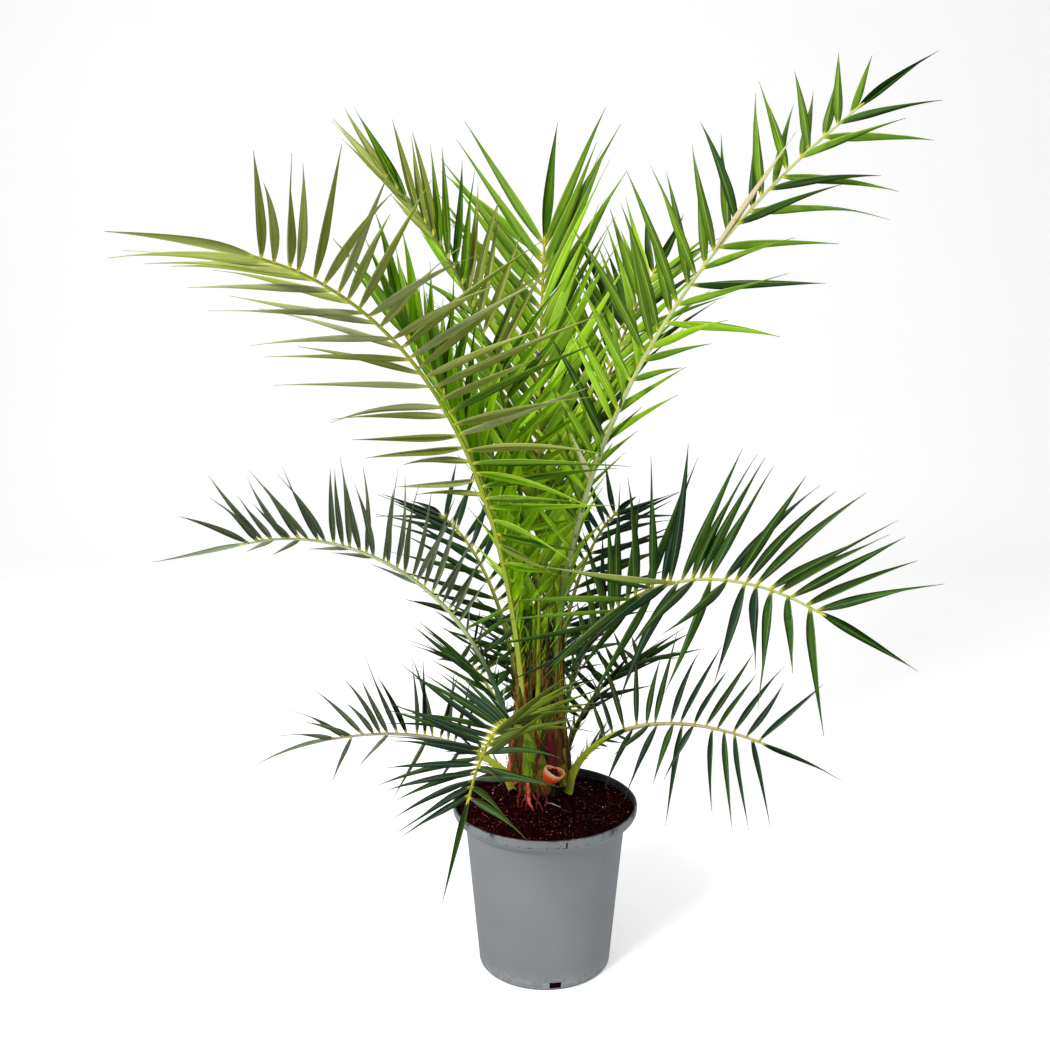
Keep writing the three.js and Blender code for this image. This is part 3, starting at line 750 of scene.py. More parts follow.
def stalk_paint(name, colours):
    """A rachis: long streaks, yellow along one edge, its foot in its own colour."""
    main, second, foot = map(mix_of, colours[:3])
    reach = colours[3]
    paint = Paint(name, roughness=0.42, shine=0.25)
    across, along = paint.face_map("blade")
    streaks = paint.fibres((across, along, 0.0), (14.0, 5.0, 0.0), 1.5)
    patches = paint.noise(paint.place(), 60.0)
    colour = paint.over(main, second, streaks, 0.42, 0.66)
    colour = paint.over(colour, mix_of(KNOB_YELLOW), paint.off(across, 0.25), 0.02, 0.12, 0.55, 0.0)
    colour = paint.over(colour, second, patches, 0.56, 0.72, 0.0, 0.4)
    colour = paint.over(colour, foot, along, reach * 0.6, reach, 0.96, 0.0)
    return paint.finish(colour, streaks, 0.0008, 0.4)


def knob_paint():
    paint = Paint("leaf_knob", roughness=0.5, shine=0.3)
    place = paint.place()
    patches = paint.noise(place, 90.0)
    colour = paint.over(mix_of(KNOB_YELLOW), mix_of(KNOB_GREEN), patches, 0.4, 0.66)
    return paint.finish(colour, paint.noise(place, 700.0), 0.0006, 0.4)


def spotted_paint(name, main, second, scale, roughness=0.85, shine=0.2):
    """A dull, crumbly or fibrous paint of two colours."""
    main, second = mix_of(main), mix_of(second)
    paint = Paint(name, roughness=roughness, shine=shine)
    place = paint.place()
    patches = paint.noise(place, scale, 4.0, 0.6)
    grain = paint.noise(place, scale * 6, 3.0, 0.6)
    colour = paint.over(main, second, patches, 0.38, 0.64)
    colour = paint.over(colour, second, grain, 0.5, 0.75, 0.0, 0.5)
    return paint.finish(colour, grain, 0.0012, 0.8)


def fibre_paint(name, *colours):
    """Old leaf base: long fibres of two colours, with darker lines and patches."""
    main, second, dark = map(mix_of, colours)
    paint = Paint(name, roughness=0.82, shine=0.2)
    across, along = paint.face_map("blade")
    tone, _ = paint.face_map("leaf")
    lines = paint.fibres((across, along, tone), (34.0, 1.6, 29.0), 1.5, 3.0, 0.6)
    patches = paint.noise(paint.place(), 70.0, 4.0, 0.6)
    colour = paint.blend(tone, main, second)
    colour = paint.over(colour, dark, lines, 0.44, 0.66, 0.0, 0.8)
    colour = paint.over(colour, dark, patches, 0.5, 0.7, 0.0, 0.6)
    return paint.finish(colour, lines, 0.0015, 0.9)


def sheath_paint(name, *colours):
    """Torn leaf sheath: three colours one after another, with fine fibres."""
    start, middle, end = map(mix_of, colours)
    paint = Paint(name, roughness=0.6, shine=0.3)
    across, along = paint.face_map("blade")
    lines = paint.fibres((across, along, 0.0), (40.0, 1.0, 0.0), 1.5)
    colour = paint.over(start, middle, along, 0.05, 0.45)
    colour = paint.over(colour, end, along, 0.62, 0.95)
    colour = paint.over(colour, middle, lines, 0.5, 0.7, 0.0, 0.4)
    return paint.finish(colour, lines, 0.0008, 0.7)


def plastic_paint():
    """Grey moulded plastic, dusty near its foot, its lip soiled and scuffed;
    black inside its slots, as painted shade.
    """
    grey, pale, dust, soiled, hollow = map(mix_of, POT_COLOURS)
    paint = Paint("pot_grey_plastic", roughness=0.55, shine=0.25)
    place = paint.place()
    height = paint.node("SeparateXYZ", {"Vector": place}).outputs["Z"]
    off_axis = paint.off_axis(place)
    clouds = paint.noise(place, 14.0)
    smears = paint.noise(place, 120.0, 4.0, 0.65)
    colour = paint.over(grey, pale, clouds, 0.35, 0.65)
    dusty = paint.where((height, 0.004, 0.03, 0.55, 0.0), (smears, 0.4, 0.6))
    colour = paint.blend(dusty, colour, dust)
    step = paint.where((height, 0.0085, 0.0095), (height, 0.0105, 0.0095))
    colour = paint.blend(paint.times(step, 0.35), colour, dust)
    colour = paint.over(colour, pale, height, 0.2065, 0.209, 0.0, 0.4)
    for point, reach in POT_SCUFFS:
        off_scuff = paint.distance(place, point)
        scuff = paint.where((off_scuff, 0.0, reach, 1.0, 0.0), (smears, 0.4, 0.56))
        colour = paint.blend(scuff, colour, soiled)
    edge = paint.sum("ADD", off_axis, paint.span(smears, 0.3, 0.7, -0.0008, 0.0008))
    inside = paint.where((edge, 0.1186, 0.1196, 0.9, 0.0), (height, 0.2105, 0.2125))
    colour = paint.blend(inside, colour, soiled)
    # Inside the slots the wall is painted near black: painted shade.
    slot_shade = paint.where((off_axis, 0.0858, 0.0864, 1.0, 0.0), (height, 0.013, 0.0125))
    colour = paint.blend(slot_shade, colour, hollow)
    return paint.finish(colour, smears, 0.0002, 0.15, paint.span(clouds, 0.3, 0.7, 0.48, 0.6))


def soil_paint():
    dark, red, pale = map(mix_of, SOIL_COLOURS)
    paint = Paint("soil_earth", roughness=1.0, shine=0.02)
    place = paint.place()
    lumps = paint.noise(place, 120.0, 5.0, 0.65)
    crumbs = paint.cells(place, 420.0)
    colour = paint.over(dark, red, lumps, 0.42, 0.62)
    colour = paint.over(colour, pale, crumbs, 0.1, 0.4, 0.5, 0.0)
    return paint.finish(colour, paint.sum("ADD", lumps, crumbs), 0.003, 0.9)


def floor_paint():
    """White paper that stays bright to the camera and still takes shadows."""
    paint = Paint("floor_white", roughness=0.9, shine=0.05)
    rays = paint.node("LightPath", {})
    glow = paint.times(rays.outputs["Is Camera Ray"], FLOOR_GLOW)
    paint.set(paint.surface, "Emission Color", (1.0, 1.0, 1.0, 1.0))
    paint.set(paint.surface, "Emission Strength", glow)
    clouds = paint.noise(paint.place(), 0.8, 2.0)
    return paint.finish(paint.blend(clouds, (0.86, 0.86, 0.86, 1.0), (0.9, 0.9, 0.9, 1.0)))


# Pot


def soften(points, reach, steps=4):
    """A profile whose inner corners are rounded off."""
    points = [np.array(point, dtype=float) for point in points]
    smooth = [points[0]]
    for before, corner, after in zip(points, points[1:], points[2:]):
        room = min(reach, np.linalg.norm(corner - before) / 2, np.linalg.norm(after - corner) / 2)
        start = corner + unit(before - corner) * room
        end = corner + unit(after - corner) * room
        smooth += [curve(start, corner, end, i / steps) for i in range(steps + 1)]
    return smooth + [points[-1]]


def filled_in(points, longest):
    """A profile with its long stretches divided."""
    full = [points[0]]
    for before, after in zip(points, points[1:]):
        pieces = max(1, ceil(np.linalg.norm(after - before) / longest))
        full += [before + (after - before) * (i + 1) / pieces for i in range(pieces)]
    return full


def turned_rings(profile, turns):
    """Rings of corners from a profile of radius and height."""
    return [[(radius * cos(turn), radius * sin(turn), height) for turn in turns]
            for radius, height in profile]


def pot_inside(clearance):
    """The pot's inner profile, from the rim to the middle of its floor."""
    inset = POT_WALL + clearance
    lip = POT_LIP_RADIUS - POT_LIP_WALL - clearance
    return [
        (lip, POT_HEIGHT),
        (lip, POT_LIP_FOOT_INSIDE),
        (POT_FLARE[0] - inset, POT_FLARE[1] + 2),
        (POT_NECK[0] - inset, POT_NECK[1] + 1),
        (POT_BELLY[0] - inset, POT_BELLY[1]),
        (POT_FOOT_RADIUS + POT_FOOT_BEVEL - inset, POT_FLOOR + clearance),
        (POT_MIDDLE, POT_FLOOR + clearance),
    ]


def box_cutter(size, turn, radius, foot):
    """A box to cut with, its middle at a turn and radius."""
    shape = Shape()
    deep, wide, tall = size
    ring = np.array([(-1, -1, 0), (1, -1, 0), (1, 1, 0), (-1, 1, 0)]) * (deep / 2, wide / 2, 0)
    loft(shape, [ring + (radius, 0, foot), ring + (radius, 0, foot + tall)])
    cutter = shape.make("cutter", [], sharp=30)
    cutter.data.transform(Matrix.Rotation(radians(turn), 4, "Z"))
    return cutter


def cut_out(piece, cutters, sharp):
    for cutter in cutters:
        cut = piece.modifiers.new("cut", "BOOLEAN")
        cut.operation = "DIFFERENCE"
        cut.solver = "EXACT"
        cut.object = cutter
    graph = bpy.context.evaluated_depsgraph_get()
    piece.data = bpy.data.meshes.new_from_object(piece.evaluated_get(graph))
    piece.modifiers.clear()
    piece.data.set_sharp_from_angle(angle=radians(sharp))
    for cutter in cutters:
        bpy.data.objects.remove(cutter)


def make_pot():
    outside = [
        (POT_MIDDLE, 0),
        (POT_FOOT_RADIUS, 0),
        (POT_FOOT_RADIUS + POT_FOOT_BEVEL, POT_FOOT_BEVEL),
        POT_BELLY,
        POT_NECK,
        *POT_FLARE_OUTSIDE,
        (POT_LIP_RADIUS, POT_LIP_FOOT),
        (POT_LIP_RADIUS, POT_HEIGHT),
    ]
    profile = filled_in(soften(outside + pot_inside(0), POT_CORNER), POT_STRIP)
    shape = Shape()
    loft(shape, turned_rings(profile, full_turn(POT_SEGMENTS)))
    pot = shape.make("pot_shell", [plastic_paint()], sharp=50)
    cutters = [
        box_cutter(SLOT_SIZE, SLOT_FIRST_TURN + i * 360 / SLOT_COUNT,
                   POT_FOOT_RADIUS + POT_WALL, SLOT_BOTTOM)
        for i in range(SLOT_COUNT)
    ]
    cutters.append(box_cutter(SPLIT_SIZE, SPLIT_TURN, POT_LIP_RADIUS, SPLIT_FOOT))
    cutters.append(box_cutter(SPLIT_TOE_SIZE, SPLIT_TOE_TURN, POT_LIP_RADIUS, SPLIT_TOE_FOOT))
    cut_out(pot, cutters, 50)
    return pot


# Soil


def soil_height(x, y):
    """The soil's top, in millimetres: level by the wall, heaped at the palm."""
    off = hypot(x - TRUNK_FOOT_PLACE[0], y - TRUNK_FOOT_PLACE[1])
    share = min(max((SOIL_HEAP_FOOT - off) / (SOIL_HEAP_FOOT - SOIL_HEAP_TOP), 0), 1)
    heap = (SOIL_HEAP - SOIL_EDGE) * share * share * (3 - 2 * share)
    rough = 1.5 * noise.noise(Vector((x, y, 3)) / 17) + 0.9 * noise.noise(Vector((x, y, 8)) / 5)
    return SOIL_EDGE + heap + rough


def make_soil(draw):
    wall = [point for point in pot_inside(SOIL_CLEARANCE) if point[1] < SOIL_EDGE - 2]
    profile = filled_in([np.array(point, dtype=float) for point in reversed(wall)], SOIL_STRIP)
    turns = full_turn(SOIL_SIDES)
    rings = turned_rings(profile, turns)
    edge = POT_LIP_RADIUS - POT_LIP_WALL - SOIL_CLEARANCE
    for i in range(SOIL_RINGS):
        radius = edge * (1 - i / SOIL_RINGS) ** 0.8
        spots = [(radius * cos(turn), radius * sin(turn)) for turn in turns]
        rings.append([(x, y, soil_height(x, y)) for x, y in spots])
    shape = Shape()
    loft(shape, rings)
    add_crumbs(shape, draw, edge)
    add_splinters(shape, draw, edge)
    paints = [
        soil_paint(),
        spotted_paint("crumb_dark", (24, 2, 4), (42, 7, 9), 400, 1.0, 0.04),
        spotted_paint("crumb_red", (104, 20, 20), (56, 8, 10), 400, 0.9),
        spotted_paint("crumb_pink", (150, 84, 74), (104, 44, 38), 400, 0.9),
        spotted_paint("crumb_pale", (226, 200, 188), (180, 132, 122), 400, 0.9),
    ]
    return shape.make("soil_surface", paints, sharp=60)


CRUMB_CORNERS = np.array([
    (0, 0, 1), (0.9, 0, 0.3), (0.2, 0.9, 0.35), (-0.8, 0.5, 0.3), (-0.7, -0.6, 0.35),
    (0.3, -0.9, 0.3), (0.6, 0.5, -0.4), (-0.3, 0.8, -0.4), (-0.8, -0.1, -0.4),
    (0, -0.8, -0.45), (0.7, -0.4, -0.4), (0, 0, -0.9),
])
CRUMB_FACES = [
    (0, 1, 2), (0, 2, 3), (0, 3, 4), (0, 4, 5), (0, 5, 1), (1, 6, 2), (2, 7, 3), (3, 8, 4),
    (4, 9, 5), (5, 10, 1), (2, 6, 7), (3, 7, 8), (4, 8, 9), (5, 9, 10), (1, 10, 6),
    (11, 7, 6), (11, 8, 7), (11, 9, 8), (11, 10, 9), (11, 6, 10),
]


def turn_matrix(draw):
    """A random turn in space."""
    turn = Matrix.Rotation(draw() * 2 * pi, 3, "Z")
    tilt = Matrix.Rotation(draw() * pi, 3, "X")
    return np.array(turn @ tilt)


def spot_within(radius, draw):
    """A random place on the soil within a radius of the pot's axis."""
    radius *= sqrt(draw())
    turn = 2 * pi * draw()
    return radius * cos(turn), radius * sin(turn)


def add_crumbs(shape, draw, edge):
    """Grains of bark, earth and grit: most dark, the pale ones small."""
    for _ in range(CRUMB_COUNT):
        x, y = spot_within(edge - 3, draw)
        kind = draw()
        paint = 1 + sum(kind > share for share in CRUMB_SHARES)
        size = between(*CRUMB_SIZES, draw() ** 2.2) * (0.62 if paint > 2 else 1)
        stretch = np.array((1, draw(0.6, 1), draw(0.5, 0.9)))
        corners = (CRUMB_CORNERS * size * stretch) @ turn_matrix(draw)
        shape.add(corners + (x, y, soil_height(x, y) + size * 0.2), CRUMB_FACES, paint)


def add_splinters(shape, draw, edge):
    """Bits of fibre and straw that lie on the soil, and one pale one in front."""
    places = []
    for _ in range(SPLINTER_COUNT):
        places.append((*spot_within(edge - 10, draw), 2 * pi * draw(),
                       draw(*SPLINTER_LENGTHS), draw(*SPLINTER_RADII), 2 + (draw() > 0.6)))
    places.append(PALE_SPLINTER)
    for x, y, aim, length, radius, paint in places:
        ends = [(x + cos(aim) * length * s, y + sin(aim) * length * s) for s in (-0.5, 0, 0.5)]
        strand(shape, [(a, b, soil_height(a, b) + 0.8) for a, b in ends], radius, 5, paint)


# Trunk


def trunk_middle(height):
    climb = height - TRUNK_FOOT
    x, y = (place + lean * climb for place, lean in zip(TRUNK_FOOT_PLACE, TRUNK_LEAN))
    return np.array((x, y, height))


def trunk_point(turn, height, off):
    """A point off the trunk's skin, in millimetres."""
    radii, heights = zip(*TRUNK_PROFILE)
    return trunk_middle(height) + outward(turn) * (np.interp(height, heights, radii) + off)


def add_trunk_core(shape):
    """The stem under its old leaf bases, grooved and knobbly."""
    rings = []
    for height in np.linspace(TRUNK_FOOT, TRUNK_PROFILE[-1][1], TRUNK_RINGS + 1):
        ring = []
        for turn in full_turn(TRUNK_SIDES):
            spot = Vector((cos(turn) * 3, sin(turn) * 3, height / 26))
            groove = 0.8 * noise.noise(Vector((turn * 9, height / 40, 1)))
            ring.append(trunk_point(turn, height, 1.6 * noise.noise(spot * 2) + groove - 2.4))
        rings.append(ring)
    loft(shape, rings, BARK)


def add_boots(shape, draw):
    """Thick old leaf bases that wrap the stem, some still green."""
    for i in range(BOOT_COUNT):
        turn = radians(i * GOLDEN_TURN)
        foot = between(*BOOT_FEET, i / BOOT_COUNT)
        length = between(*BOOT_LENGTHS, i / BOOT_COUNT) * draw(0.8, 1.3)
        spread = draw(*BOOT_SPREADS)
        lift = draw(*BOOT_LIFTS)
        swell = draw(*BOOT_SWELLS)
        paint = BOOT_PAINTS[int(draw() * len(BOOT_PAINTS))]
        rings = []
        for s in np.linspace(0, 1, 9):
            half = spread * (1 - s ** 2.6) + 0.04
            height = foot + length * s
            over = [trunk_point(turn + half * side, height, -3 + lift * s * s
                                + swell * (1 - side * side) * (1 - 0.5 * s))
                    for side in np.linspace(-1, 1, 9)]
            below = [trunk_point(turn + half * side, height, -5.5 + lift * s * s * 0.6)
                     for side in np.linspace(1, -1, 9)]
            rings.append(below + over)
        loft(shape, rings, paint, tone=draw())


def add_young_stalks(shape, draw):
    """Slender leaf stalks, broad at the foot, that rise close together."""
    for i in range(YOUNG_COUNT):
        turn = radians(i * GOLDEN_TURN + 24 * draw())
        foot = between(*YOUNG_FEET, i / YOUNG_COUNT)
        top = draw(*YOUNG_TOPS)
        out = between(*YOUNG_OUT, sqrt(draw()))
        thick = draw(*YOUNG_RADII)
        lean = draw(-0.05, 0.05)
        start = trunk_point(turn, foot, -5)
        end = trunk_middle(YOUNG_FEET[1]) + outward(turn + 3 * lean) * out
        rings = []
        for s in np.linspace(0, 1, 17):
            climb = 1 - (1 - s) ** 2
            point = start * (1 - climb) + end * climb
            point[2] = between(foot, top, s)
            point[0] += 60 * lean * s * s
            size = thick * (1.1 - 0.8 * s)
            broad = size * (1 + 1.5 * max(0, 1 - s / 0.35) ** 1.5)
            rings.append(round_ring(point, leftward(turn), outward(turn), broad, size, 10))
        loft(shape, rings, YOUNG_PAINTS[i % len(YOUNG_PAINTS)], tone=draw())


def add_strands(shape, draw):
    """Red-brown fibres that climb and cross, some with a loose end."""
    for _ in range(STRAND_COUNT):
        turn = 2 * pi * draw()
        foot = between(*STRAND_FEET, draw() ** 1.2)
        rise = draw(*STRAND_RISES)
        swing = draw(-0.9, 0.9)
        loose = STRAND_LOOSE * draw() ** 4
        points = []
        for s in np.linspace(0, 1, 7):
            height = foot + rise * s
            wrap = np.interp(height, WRAP_HEIGHTS, WRAP_RADII)
            middle = trunk_middle(min(height, STRAND_UPRIGHT))
            middle[2] = height
            points.append(middle + outward(turn + swing * s)
                          * (wrap + 1.2 * sin(9 * s + turn) + loose * s ** 3))
        paint = FIBRE_TAN if draw() > 0.5 else FIBRE
        strand(shape, points, draw(*STRAND_RADII), 4, paint, draw())


def add_stub(shape, turn, height, length, radius, tip, tilt, paint):
    """The cut-off foot of an old leaf: thick, ribbed, hollow at its cut end."""
    turn = radians(turn)
    along = outward(turn, radians(90 - tilt))
    left = leftward(turn)
    above = np.cross(along, left)
    start = trunk_middle(height)
    rings = []
    for i in range(13):
        s = i / 12
        size = between(radius, tip, s ** 0.8) * (1 + 0.06 * sin(7 * s))
        middle = start + along * length * s + above * (-3.5 * s * s)
        rings.append(round_ring(middle, left, above, size * 0.98, size * 0.72, 20))
    loft(shape, rings, paint, tone=0.4)
    end = rings[-1]
    middle = end.mean(axis=0)
    hollow = [middle + (end - middle) * share + along * rise
              for share, rise in STUB_HOLLOW]
    loft(shape, hollow, SHEATH_LINING, tone=0.6)


def add_cup(shape):
    """A torn leaf base like a small open bowl, its pale rim cut aslant."""
    along = unit(np.array(CUP_AIM))
    left, above = side_axes(along)
    turns = full_turn(40)[:, None]
    wave = 1 + sum(height * np.sin(waves * turns + shift) for height, waves, shift in CUP_WAVES)
    outer = []
    inner = []
    for s in np.linspace(0, 1, 12):
        size = CUP_RADIUS * sin(pi / 2 * between(0.12, 1, s)) ** 0.8
        depth = CUP_DEPTH * s ** 1.3 + CUP_SLANT * s * np.cos(turns - CUP_HIGH)
        for rings, radius in ((outer, size), (inner, size - CUP_WALL)):
            radius = max(radius, 0.4) * wave
            rings.append(np.array(CUP_PLACE) + along * depth + left * np.cos(turns) * radius
                         + above * np.sin(turns) * radius * 0.84)
    rim = (outer[-1] + inner[-1]) / 2 + along * 0.8
    loft(shape, outer + [rim], SHEATH_SKIN, tone=0.4, ends=False)
    loft(shape, [rim] + inner[:0:-1], SHEATH_LINING, tone=0.7, ends=False)


def add_green_bases(shape):
    """The live leaf bases in front: broad, upright and green."""
    for turn, radius, foot, top, wide, deep in GREEN_BASES:
        turn = radians(turn)
        rings = []
        for s in np.linspace(0, 1, 14):
            share = (0.75 + 0.5 * s - 0.75 * s ** 3) * (1 + 0.05 * sin(9 * s))
            middle = trunk_middle(between(foot, top, s)) + outward(turn) * (radius - 3 * s)
            rings.append(round_ring(middle, leftward(turn), outward(turn), wide * share,
                                    deep * share, 18))
        loft(shape, rings, GREEN, tone=0.3)


def add_rootlets(shape):
    """Reddish young roots in front of the foot, running into the soil."""
    for *places, radius, paint in ROOTLETS:
        start, middle, end = (np.array(place, dtype=float) for place in places)
        points = []
        for s in np.linspace(0, 1, 17):
            wriggle = np.array((sin(11 * s + radius * 7), sin(17 * s + radius), 0))
            points.append(curve(start, middle, end, s) + 1.3 * s * wriggle)
        strand(shape, points, radius, 8, paint)


def make_trunk(draw):
    shape = Shape()
    add_trunk_core(shape)
    add_boots(shape, draw)
    add_young_stalks(shape, draw)
    add_strands(shape, draw)
    add_green_bases(shape)
    add_cup(shape)
    for stub in STUBS:
        add_stub(shape, *stub)
    add_rootlets(shape)
    paints = [
        fibre_paint("trunk_bark", (16, 10, 4), (30, 22, 6), (6, 3, 2)),
        fibre_paint("trunk_leaf_base", (96, 62, 18), (58, 36, 8), (22, 12, 4)),
        spotted_paint("fibre_brown", (84, 34, 12), (40, 16, 6), 160),
        spotted_paint("fibre_tan", (158, 86, 30), (98, 44, 12), 160),
        sheath_paint("sheath_skin", (160, 26, 16), (228, 70, 28), (246, 190, 138)),
        # The lining goes from the pale rim through red to dark wine at the bottom of the cup and of
        # the stubs' hollows: a red lining with painted shade that deepens into the hollow.
        sheath_paint("sheath_lining", (246, 190, 138), (196, 46, 26), (70, 10, 12)),
        spotted_paint("rootlet_pink", (206, 98, 78), (136, 40, 32), 130, 0.6),
        fibre_paint("stalk_base_green", (96, 136, 6), (146, 166, 34), (30, 52, 0)),
        # The green stalk base, darkened: painted shade.
        fibre_paint("stalk_base_shaded", (30, 54, 2), (66, 92, 8), (8, 18, 0)),
        fibre_paint("stalk_base_olive", (106, 114, 18), (150, 146, 48), (44, 44, 4)),
        fibre_paint("stalk_base_yellow", (196, 176, 62), (216, 148, 70), (140, 90, 30)),
        spotted_paint("rootlet_red", (134, 40, 30), (66, 16, 14), 130, 0.7),
        fibre_paint("leaf_base_wine", (98, 18, 20), (128, 42, 34), (40, 6, 10)),
        fibre_paint("leaf_base_orange", (190, 84, 30), (206, 116, 52), (110, 40, 14)),
    ]
    return shape.make("trunk_bark", paints, sharp=45)


# Fronds


class Station:
    """A frond's axes at t: along, to the left and above the blade."""

    def __init__(self, frond, t):
        heading, sweep = frond["course"]
        start, end, bend = frond["slope"]
        turn = radians(heading + sweep * t)
        self.along = outward(turn, radians(between(start, end, t ** bend)))
        self.left = turned_about(leftward(turn), self.along, between(*frond["roll"], t))
        self.above = np.cross(self.along, self.left)

    def leaflet(self, side, angle, vee):
        """The direction of a leaflet."""
        angle, vee = radians(angle), radians(vee)
        out = self.left * side * cos(vee) + self.above * sin(vee)
        return self.along * cos(angle) + out * sin(angle)


def centre_line(frond):
    """Points of the rachis's middle, by steps from the seat, in millimetres."""
    turn, radius, height = frond["seat"]
    points = [trunk_middle(height) + outward(radians(turn)) * radius]
    step = frond["length"] / RACHIS_STEPS
    for i in range(RACHIS_STEPS):
        points.append(points[-1] + Station(frond, (i + 0.5) / RACHIS_STEPS).along * step)
    return points


def smooth_line(points, count):
    """The same line through more points, without its corners."""
    controls = np.array([2 * points[0] - points[1], *points, 2 * points[-1] - points[-2]])
    line = []
    for t in np.linspace(0, len(points) - 1, count):
        i = min(int(t), len(points) - 2)
        a, b, c, d = controls[i:i + 4]
        s = t - i
        line.append(0.5 * (2 * b + (c - a) * s + (2 * a - 5 * b + 4 * c - d) * s * s
                           + (3 * b - a - 3 * c + d) * s ** 3))
    return np.array(line)


def point_at(line, t):
    place = min(max(t, 0), 1) * (len(line) - 1)
    first = min(int(place), len(line) - 2)
    return line[first] * (1 - place + first) + line[first + 1] * (place - first)


def rachis_radius(frond, t):
    return between(RACHIS_TIP_RADIUS, frond["radius"], (1 - t) ** RACHIS_TAPER)


def add_rachis(shape, frond, line):
    """A rounded three-sided rod that broadens where it leaves the trunk."""
    rings = []
    for i in range(RACHIS_RINGS + 1):
        t = i / RACHIS_RINGS
        axes = Station(frond, t)
        radius = rachis_radius(frond, t)
        foot = max(0.0, 1 - t * frond["length"] / RACHIS_FLARE_LENGTH)
        flare = frond.get("flare", RACHIS_FLARE)
        wide = radius * (1 + flare * foot ** 1.5)
        deep = radius * (0.92 + (0.8 * flare - 0.87) * foot)
        ring = []
        for turn in full_turn(RACHIS_SIDES):
            share = RACHIS_ROUND + RACHIS_THREE_SIDED * cos(3 * (turn - pi / 2))
            ring.append(point_at(line, t) + axes.left * cos(turn) * share * wide
                        + axes.above * sin(turn) * share * deep)
        rings.append(ring)
    loft(shape, rings)


def both_sides(frond):
    return (1, frond["left"]), (-1, frond["right"])


def square_to(guide, direction):
    """The axis square to a direction that is nearest to a guide."""
    return unit(guide - direction * np.dot(guide, direction))


def add_spike(shape, start, aim, length):
    """A short stiff spine."""
    rings = [round_ring(start + aim * length * s, *side_axes(aim), size, size, 5)
             for s, size in SPIKE_PROFILE]
    loft(shape, rings)


def add_spines(leaves, stalk, frond, line, greens, draw):
    """The small leaves on both edges of the stalk: spines near its foot, then
    thin stiff leaves that grow longer towards the leaflets."""
    count, longest = frond["spines"]
    for side, side_row in both_sides(frond):
        for i in range(count):
            share = (i + 0.7 * draw()) / count
            t = side_row["bare"] * between(0.2, 0.98, share)
            axes = Station(frond, t)
            length = longest * between(0.22, 1, share) * draw(0.75, 1.15)
            aim = axes.leaflet(side, draw(*SPINE_ANGLES), draw(*SPINE_LIFTS))
            start = point_at(line, t) + axes.left * side * 0.45 * rachis_radius(frond, t)
            if length < SPIKE_LONGEST:
                add_spike(stalk, start, aim, length)
            else:
                chosen = greens.index(pick_green(frond, t, side, draw))
                add_blade(leaves, start, aim, square_to(axes.along, aim) * side, length,
                          2.2 + 0.035 * length, draw, chosen)


def leaf_share(u, tip):
    """A leaflet's length beside the longest, u running over the leafy part."""
    if u < LEAF_LONGEST:
        return 1 - (1 - LEAF_FIRST) * (1 - u / LEAF_LONGEST) ** LEAF_GROWTH
    return 1 - (1 - tip) * ((u - LEAF_LONGEST) / (1 - LEAF_LONGEST)) ** LEAF_FADE


def wanted_leaflets(frond, seed):
    """A row of leaflets on each side of the rachis, and one at its tip."""
    draw = random_draws(seed)

    def spread(size):
        return (draw() * 2 - 1) * size

    wanted = []
    for side, side_row in both_sides(frond):
        count = round(side_row["count"] * side_row["finer"])
        bare = side_row["bare"]
        for k in range(count):
            u = (k + 0.5 + LEAF_STAGGER * side) / count
            angle = between(*side_row["angle"], u) + spread(LEAF_JITTER["angle"])
            rank = frond["ranks"] if k % 2 == 0 else -frond["ranks"]
            lift = between(*side_row["vee"], u) + rank + spread(LEAF_JITTER["vee"])
            length = side_row["longest"] * leaf_share(u, side_row["tip"] or frond["tip"])
            length *= 1 + spread(LEAF_JITTER["length"])
            place = min(1, u + spread(LEAF_SCATTER) / count)
            wanted.append((between(bare, 1, place), side, angle, lift, length))
    wanted.append((1, 1, 0, 0, frond["left"]["longest"] * frond["tip"] * LEAF_LAST))
    return wanted


def leaf_outline(s):
    """A blade's width beside its widest: narrow root, drawn-out needle tip."""
    early = np.clip(s / LEAF_WIDEST, 0, 1)
    late = np.clip((s - LEAF_WIDEST) / (1 - LEAF_WIDEST), 0, 1)
    root = LEAF_ROOT + (1 - LEAF_ROOT) * early * (2 - early)
    tip = (1 - late ** 1.4) ** 1.15
    return np.maximum(np.where(s < LEAF_WIDEST, root, tip), 0.035)


LEAF_ACROSS = [0, 0.25, 0.5, 0.75, 1, 0.75, 0.5, 0.25, 0]
LEAF_UNDERS = {4, 5, 6, 7}
KNOB = 1


def half_ends(draw):
    """How far out each half of a blade reaches. On some leaves one half ends
    sooner, which leaves a notch before the needle tip."""
    ends = [1.0, 1.0]
    if draw() < LEAF_NOTCHED:
        ends[int(draw() * 2)] = draw(*LEAF_NOTCHES)
    return ends


